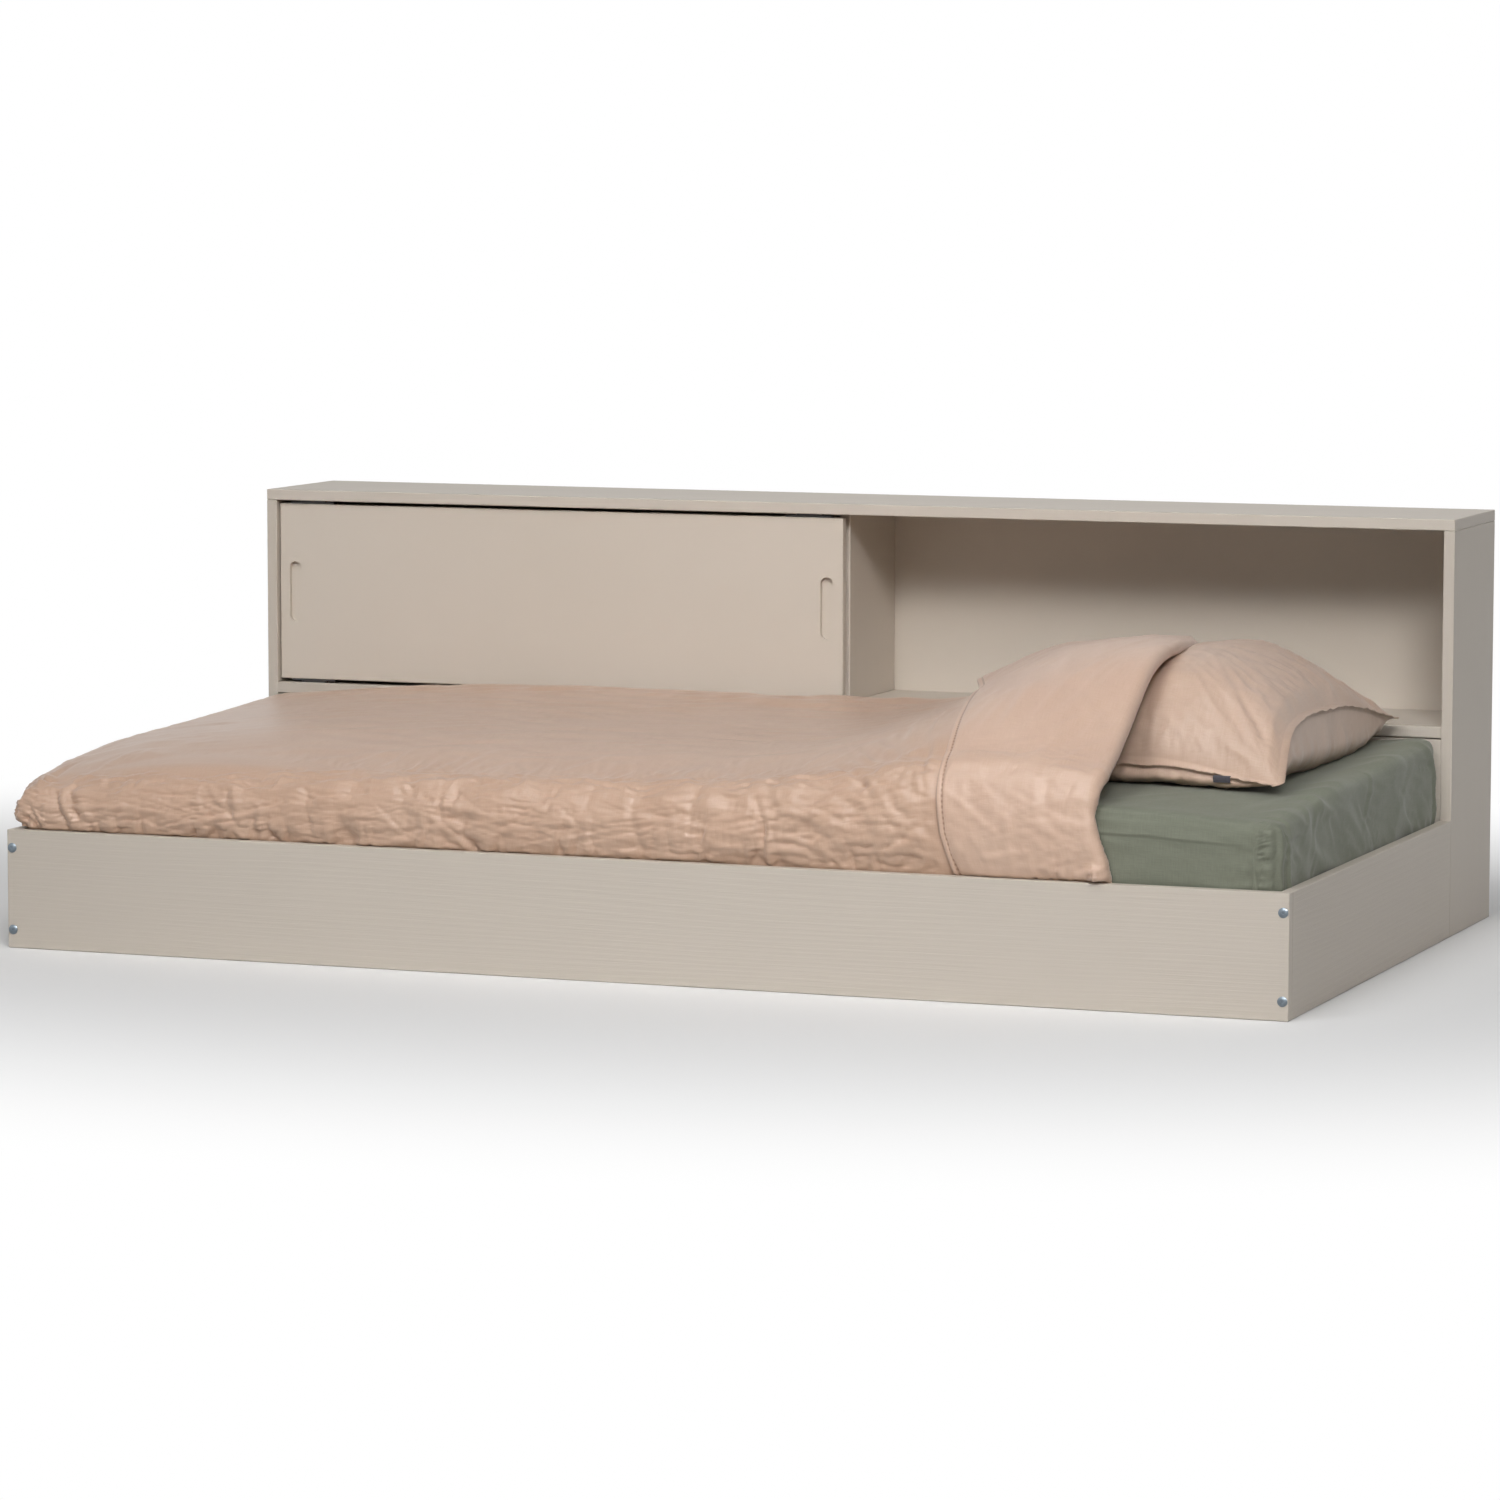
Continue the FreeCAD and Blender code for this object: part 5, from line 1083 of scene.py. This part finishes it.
for piece, at_i, at_j in layers:
    u, v = side_u[at_i], side_v[at_j]
    rim = np.minimum(np.minimum(u, 1 - u), np.minimum(v, 1 - v))
    points, facing = points_of(piece), normals_of(piece)
    near_seam = np.flatnonzero((rim > 0.01) & (rim < 0.09))
    near_corner = np.flatnonzero((np.minimum(u, 1 - u) < 0.16) & (np.minimum(v, 1 - v) < 0.16)
                                 & (rim > 0.01))
    case_crease = seam_crease(near_seam, 60, (18, 60), (5, 11), (0.6, 2.2), (-0.003, 0.003))
    corner_crease = seam_crease(near_corner, 25, (30, 90), (6, 12), (1, 3), (-0.002, 0.002))
    face_dent = stroke(np.flatnonzero(rim > 0.15), lambda: (rng.normal(0, 1), rng.normal(0, 1), 0),
                       (40, 120), (12, 26), (0.5, 1.8), (-0.001, 0.001))
    raised = folds(points, facing, case_crease, 50) + folds(points, facing, corner_crease, 36)
    raised += folds(points, facing, face_dent, 26)
    u_mm, v_mm = u * 600, v * 660
    from_head, from_front, from_wall = 600 - u_mm, v_mm, 660 - v_mm
    raised += np.exp(-from_head / 130) * crumples(u_mm, v_mm, (
        (6.0, 200, 110, 25, 501), (4.4, 130, 56, -32, 503, 110, 517), (2.4, 80, 22, 14, 513, 90, 519)))
    for off, seed in ((from_front, 505), (from_wall, 507)):
        raised += np.exp(-off / 60) * crumples(v_mm, u_mm, ((3.6, 90, 22, 12, seed),
                                                            (2.2, 44, 11, -25, seed + 20)))
    raised += crumples(u_mm, v_mm, ((2.4, 160, 40, -35, 509, 110, 511),))
    raised = limited(raised, 8) * np.minimum(rim * 30, 1)
    shape(piece, points + facing * raised[:, None])
    settle(piece, np.full(len(points), 0.02), (rim < 0.001) * 1.0, 6)


def rim_loop(at_i, at_j):
    """The points along a layer's four sides, in order."""
    last_i, last_j = at_i.max(), at_j.max()
    index = {(a, b): n for n, (a, b) in enumerate(zip(at_i, at_j))}
    loop = [index[a, 0] for a in range(last_i)] + [index[last_i, b] for b in range(last_j)]
    loop += [index[a, last_j] for a in range(last_i, 0, -1)] + [index[0, b] for b in range(last_j, 0, -1)]
    return loop


top_loop, low_loop = rim_loop(top_i, top_j), rim_loop(low_i, low_j)
top_points, low_points = points_of(top), points_of(low)
low_points[:, 2] = np.maximum(low_points[:, 2], 300.8)
shape(low, low_points)
rim_points = (top_points[top_loop] + low_points[low_loop]) / 2
outward = np.roll(rim_points, -1, axis=0) - np.roll(rim_points, 1, axis=0)
outward = np.stack([outward[:, 1], -outward[:, 0], 0 * outward[:, 0]], axis=1)
outward /= np.linalg.norm(outward, axis=1)[:, None]
wobble = rng.normal(0, 1.1, len(rim_points))
wobble = (wobble + np.roll(wobble, 1) + np.roll(wobble, 2) + np.roll(wobble, 3)) / 2
outer = rim_points + outward * PILLOW_EDGE
outer[:, 2] += wobble
base = len(top_points)
more = base + len(low_points)
verts = np.concatenate([top_points, low_points, outer + (0, 0, 0.9), outer - (0, 0, 0.9)]) / 1000
quads = [tuple(f.vertices) for f in top.data.polygons]
quads += [tuple(n + base for n in f.vertices) for f in low.data.polygons]
count = len(rim_points)
for n in range(count):
    after = (n + 1) % count
    quads.append((top_loop[after], top_loop[n], more + n, more + after))
    quads.append((more + after, more + n, more + count + n, more + count + after))
    quads.append((more + count + after, more + count + n, base + low_loop[n], base + low_loop[after]))
mesh = bpy.data.meshes.new("pillow_case")
mesh.from_pydata(verts.tolist(), [], quads)
bpy.data.objects.remove(low)
top.data = mesh
pillow = top
in_edit_mode(pillow, bpy.ops.mesh.normals_make_consistent, inside=False)
smooth_all(pillow)
map_layer = pillow.data.uv_layers.new(name="UVMap")
corner = np.empty(len(pillow.data.loops), int)
pillow.data.loops.foreach_get("vertex_index", corner)
map_layer.data.foreach_set("uv", verts[corner][:, :2].ravel())
paint(pillow, woven_cloth("pillow_cotton_satin", "C6AC9A", "B89C87", 0.0011, 0.2, 0.45))
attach(pillow, "bed")
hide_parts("pillow")


# Tab: a short piece of dark tape, folded double and sewn in the pillow's front seam. It is bare.
tab_low, tab_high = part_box("pillow_tab")
tab_p = np.linspace(tab_low.x, tab_high.x, 14) * 1000
near_tab = (outer[:, 1] < 0) & (abs(outer[:, 0] - tab_p.mean()) < 14)
edge_y, edge_z = outer[near_tab, 1].mean(), outer[near_tab, 2].mean()
HANG = ((8, -1.6), (3, -1.6), (-0.6, -1.3), (-1.9, -3), (-2, -6), (-1.2, -10.5))


def tab_place(p, q):
    out = track(HANG, q)
    return np.stack([p + 0.06 * q, edge_y + out[..., 0], edge_z + out[..., 1]], axis=-1)


tab = grid_piece("pillow_seam_tab", tab_p, np.linspace(0, line_length(HANG), 20), tab_place)[0]
thicken(tab, 0.0013, 0)
paint(tab, woven_tape("dark_twill_tape", "4A474E", "2E2C33", 0.0012))
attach(tab, "bed")
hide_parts("pillow_tab")


# Studio: a pale floor that fades to white, a large soft light in front to the right, a weaker one in
# front, a broad one above the bed, and white all round. The fade is in metres from the floor's middle.
FADE_FROM, FADE_TO = 0.75, 2.2
ROOM_LIGHT = 0.075


def seen_rays(tree):
    """1 for the rays that show the background: to the camera, off a gloss or through a clear piece."""
    rays = add(tree, "LightPath", out=None)
    seen = add(tree, "Math", {0: rays["Is Camera Ray"], 1: rays["Is Glossy Ray"]}, operation="MAXIMUM")
    return add(tree, "Math", {0: seen, 1: rays["Is Transmission Ray"]}, operation="MAXIMUM")


bpy.ops.object.select_all(action="DESELECT")
bpy.ops.mesh.primitive_circle_add(vertices=96, radius=40, fill_type="NGON", location=(0, 0, -0.0005))
floor = bpy.context.object
floor.name = "studio_floor"
bpy.ops.object.transform_apply(location=True, rotation=True, scale=True)
made, tree, shader = finish("pale_studio_floor")
tree.nodes.remove(shader)
place = add(tree, "TexCoord", out="Object")
squeezed = add(tree, "Mapping", {"Vector": place, "Scale": (0.75, 1, 1)})
away = add(tree, "VectorMath", {0: squeezed}, operation="LENGTH", out="Value")
far = add(tree, "MapRange", {"Value": away, "From Min": FADE_FROM, "From Max": FADE_TO},
          interpolation_type="SMOOTHSTEP")
white_share = add(tree, "Math", {0: far, 1: seen_rays(tree)}, operation="MULTIPLY")
matt = add(tree, "BsdfDiffuse", {"Color": colour("EDEDED")})
glow = add(tree, "Emission", {"Color": (1, 1, 1, 1), "Strength": 1})
both = add(tree, "MixShader", {"Fac": white_share, 1: matt, 2: glow})
tree.links.new(both, tree.nodes["Material Output"].inputs["Surface"])
paint(floor, made)

world = bpy.data.worlds.new("studio")
bpy.context.scene.world = world
world.use_nodes = True
tree = world.node_tree
strength = add(tree, "MapRange", {"Value": seen_rays(tree), "To Min": ROOM_LIGHT, "To Max": 1})
tree.links.new(strength, tree.nodes["Background"].inputs["Strength"])
tree.nodes["Background"].inputs["Color"].default_value = (1, 1, 1, 1)

for name, place, target, width, height, spread, power in (
        ("key_light", (5.8, -10.95, 8.1), (0.45, 0.3, 0.8), 3.6, 3, 37, 51),
        ("front_light", (-0.2, -12.1, 7.4), (0.3, 0.3, 0.8), 2.8, 2.8, 37, 18),
        ("overhead_light", (0.1, -2.2, 3.8), (0.1, 0.1, 0.4), 2, 1.4, 160, 46)):
    lamp = bpy.data.lights.new(name, "AREA")
    lamp.shape = "RECTANGLE"
    lamp.size = width
    lamp.size_y = height
    lamp.energy = power
    lamp.spread = math.radians(spread)
    holder = bpy.data.objects.new(name, lamp)
    holder.location = place
    holder.rotation_euler = (Vector(target) - Vector(place)).to_track_quat("-Z", "Y").to_euler()
    bpy.context.scene.collection.objects.link(holder)

# Camera: at the photograph's place, solved from the corners of the frame and the cabinet.
CAMERA_PLACE = (3.24195, -8.46545, 1.26568)
PITCH, ROLL, YAW = -6.14202, -0.05996, 21.0906
FOCAL_LENGTH = 138.334
lens = bpy.data.cameras.new("camera")
lens.lens = FOCAL_LENGTH
lens.sensor_width = 36
lens.clip_end = 200
camera = bpy.data.objects.new("camera", lens)
bpy.context.scene.collection.objects.link(camera)
turn = (Matrix.Rotation(math.radians(YAW), 3, "Z") @ Matrix.Rotation(math.radians(PITCH), 3, "X")
        @ Matrix.Rotation(math.radians(ROLL), 3, "Y"))
camera.matrix_world = (Matrix.Translation(CAMERA_PLACE)
                       @ Matrix((turn.col[0], turn.col[2], -turn.col[1])).transposed().to_4x4())
bpy.context.scene.camera = camera
bpy.context.scene.view_settings.view_transform = "Standard"
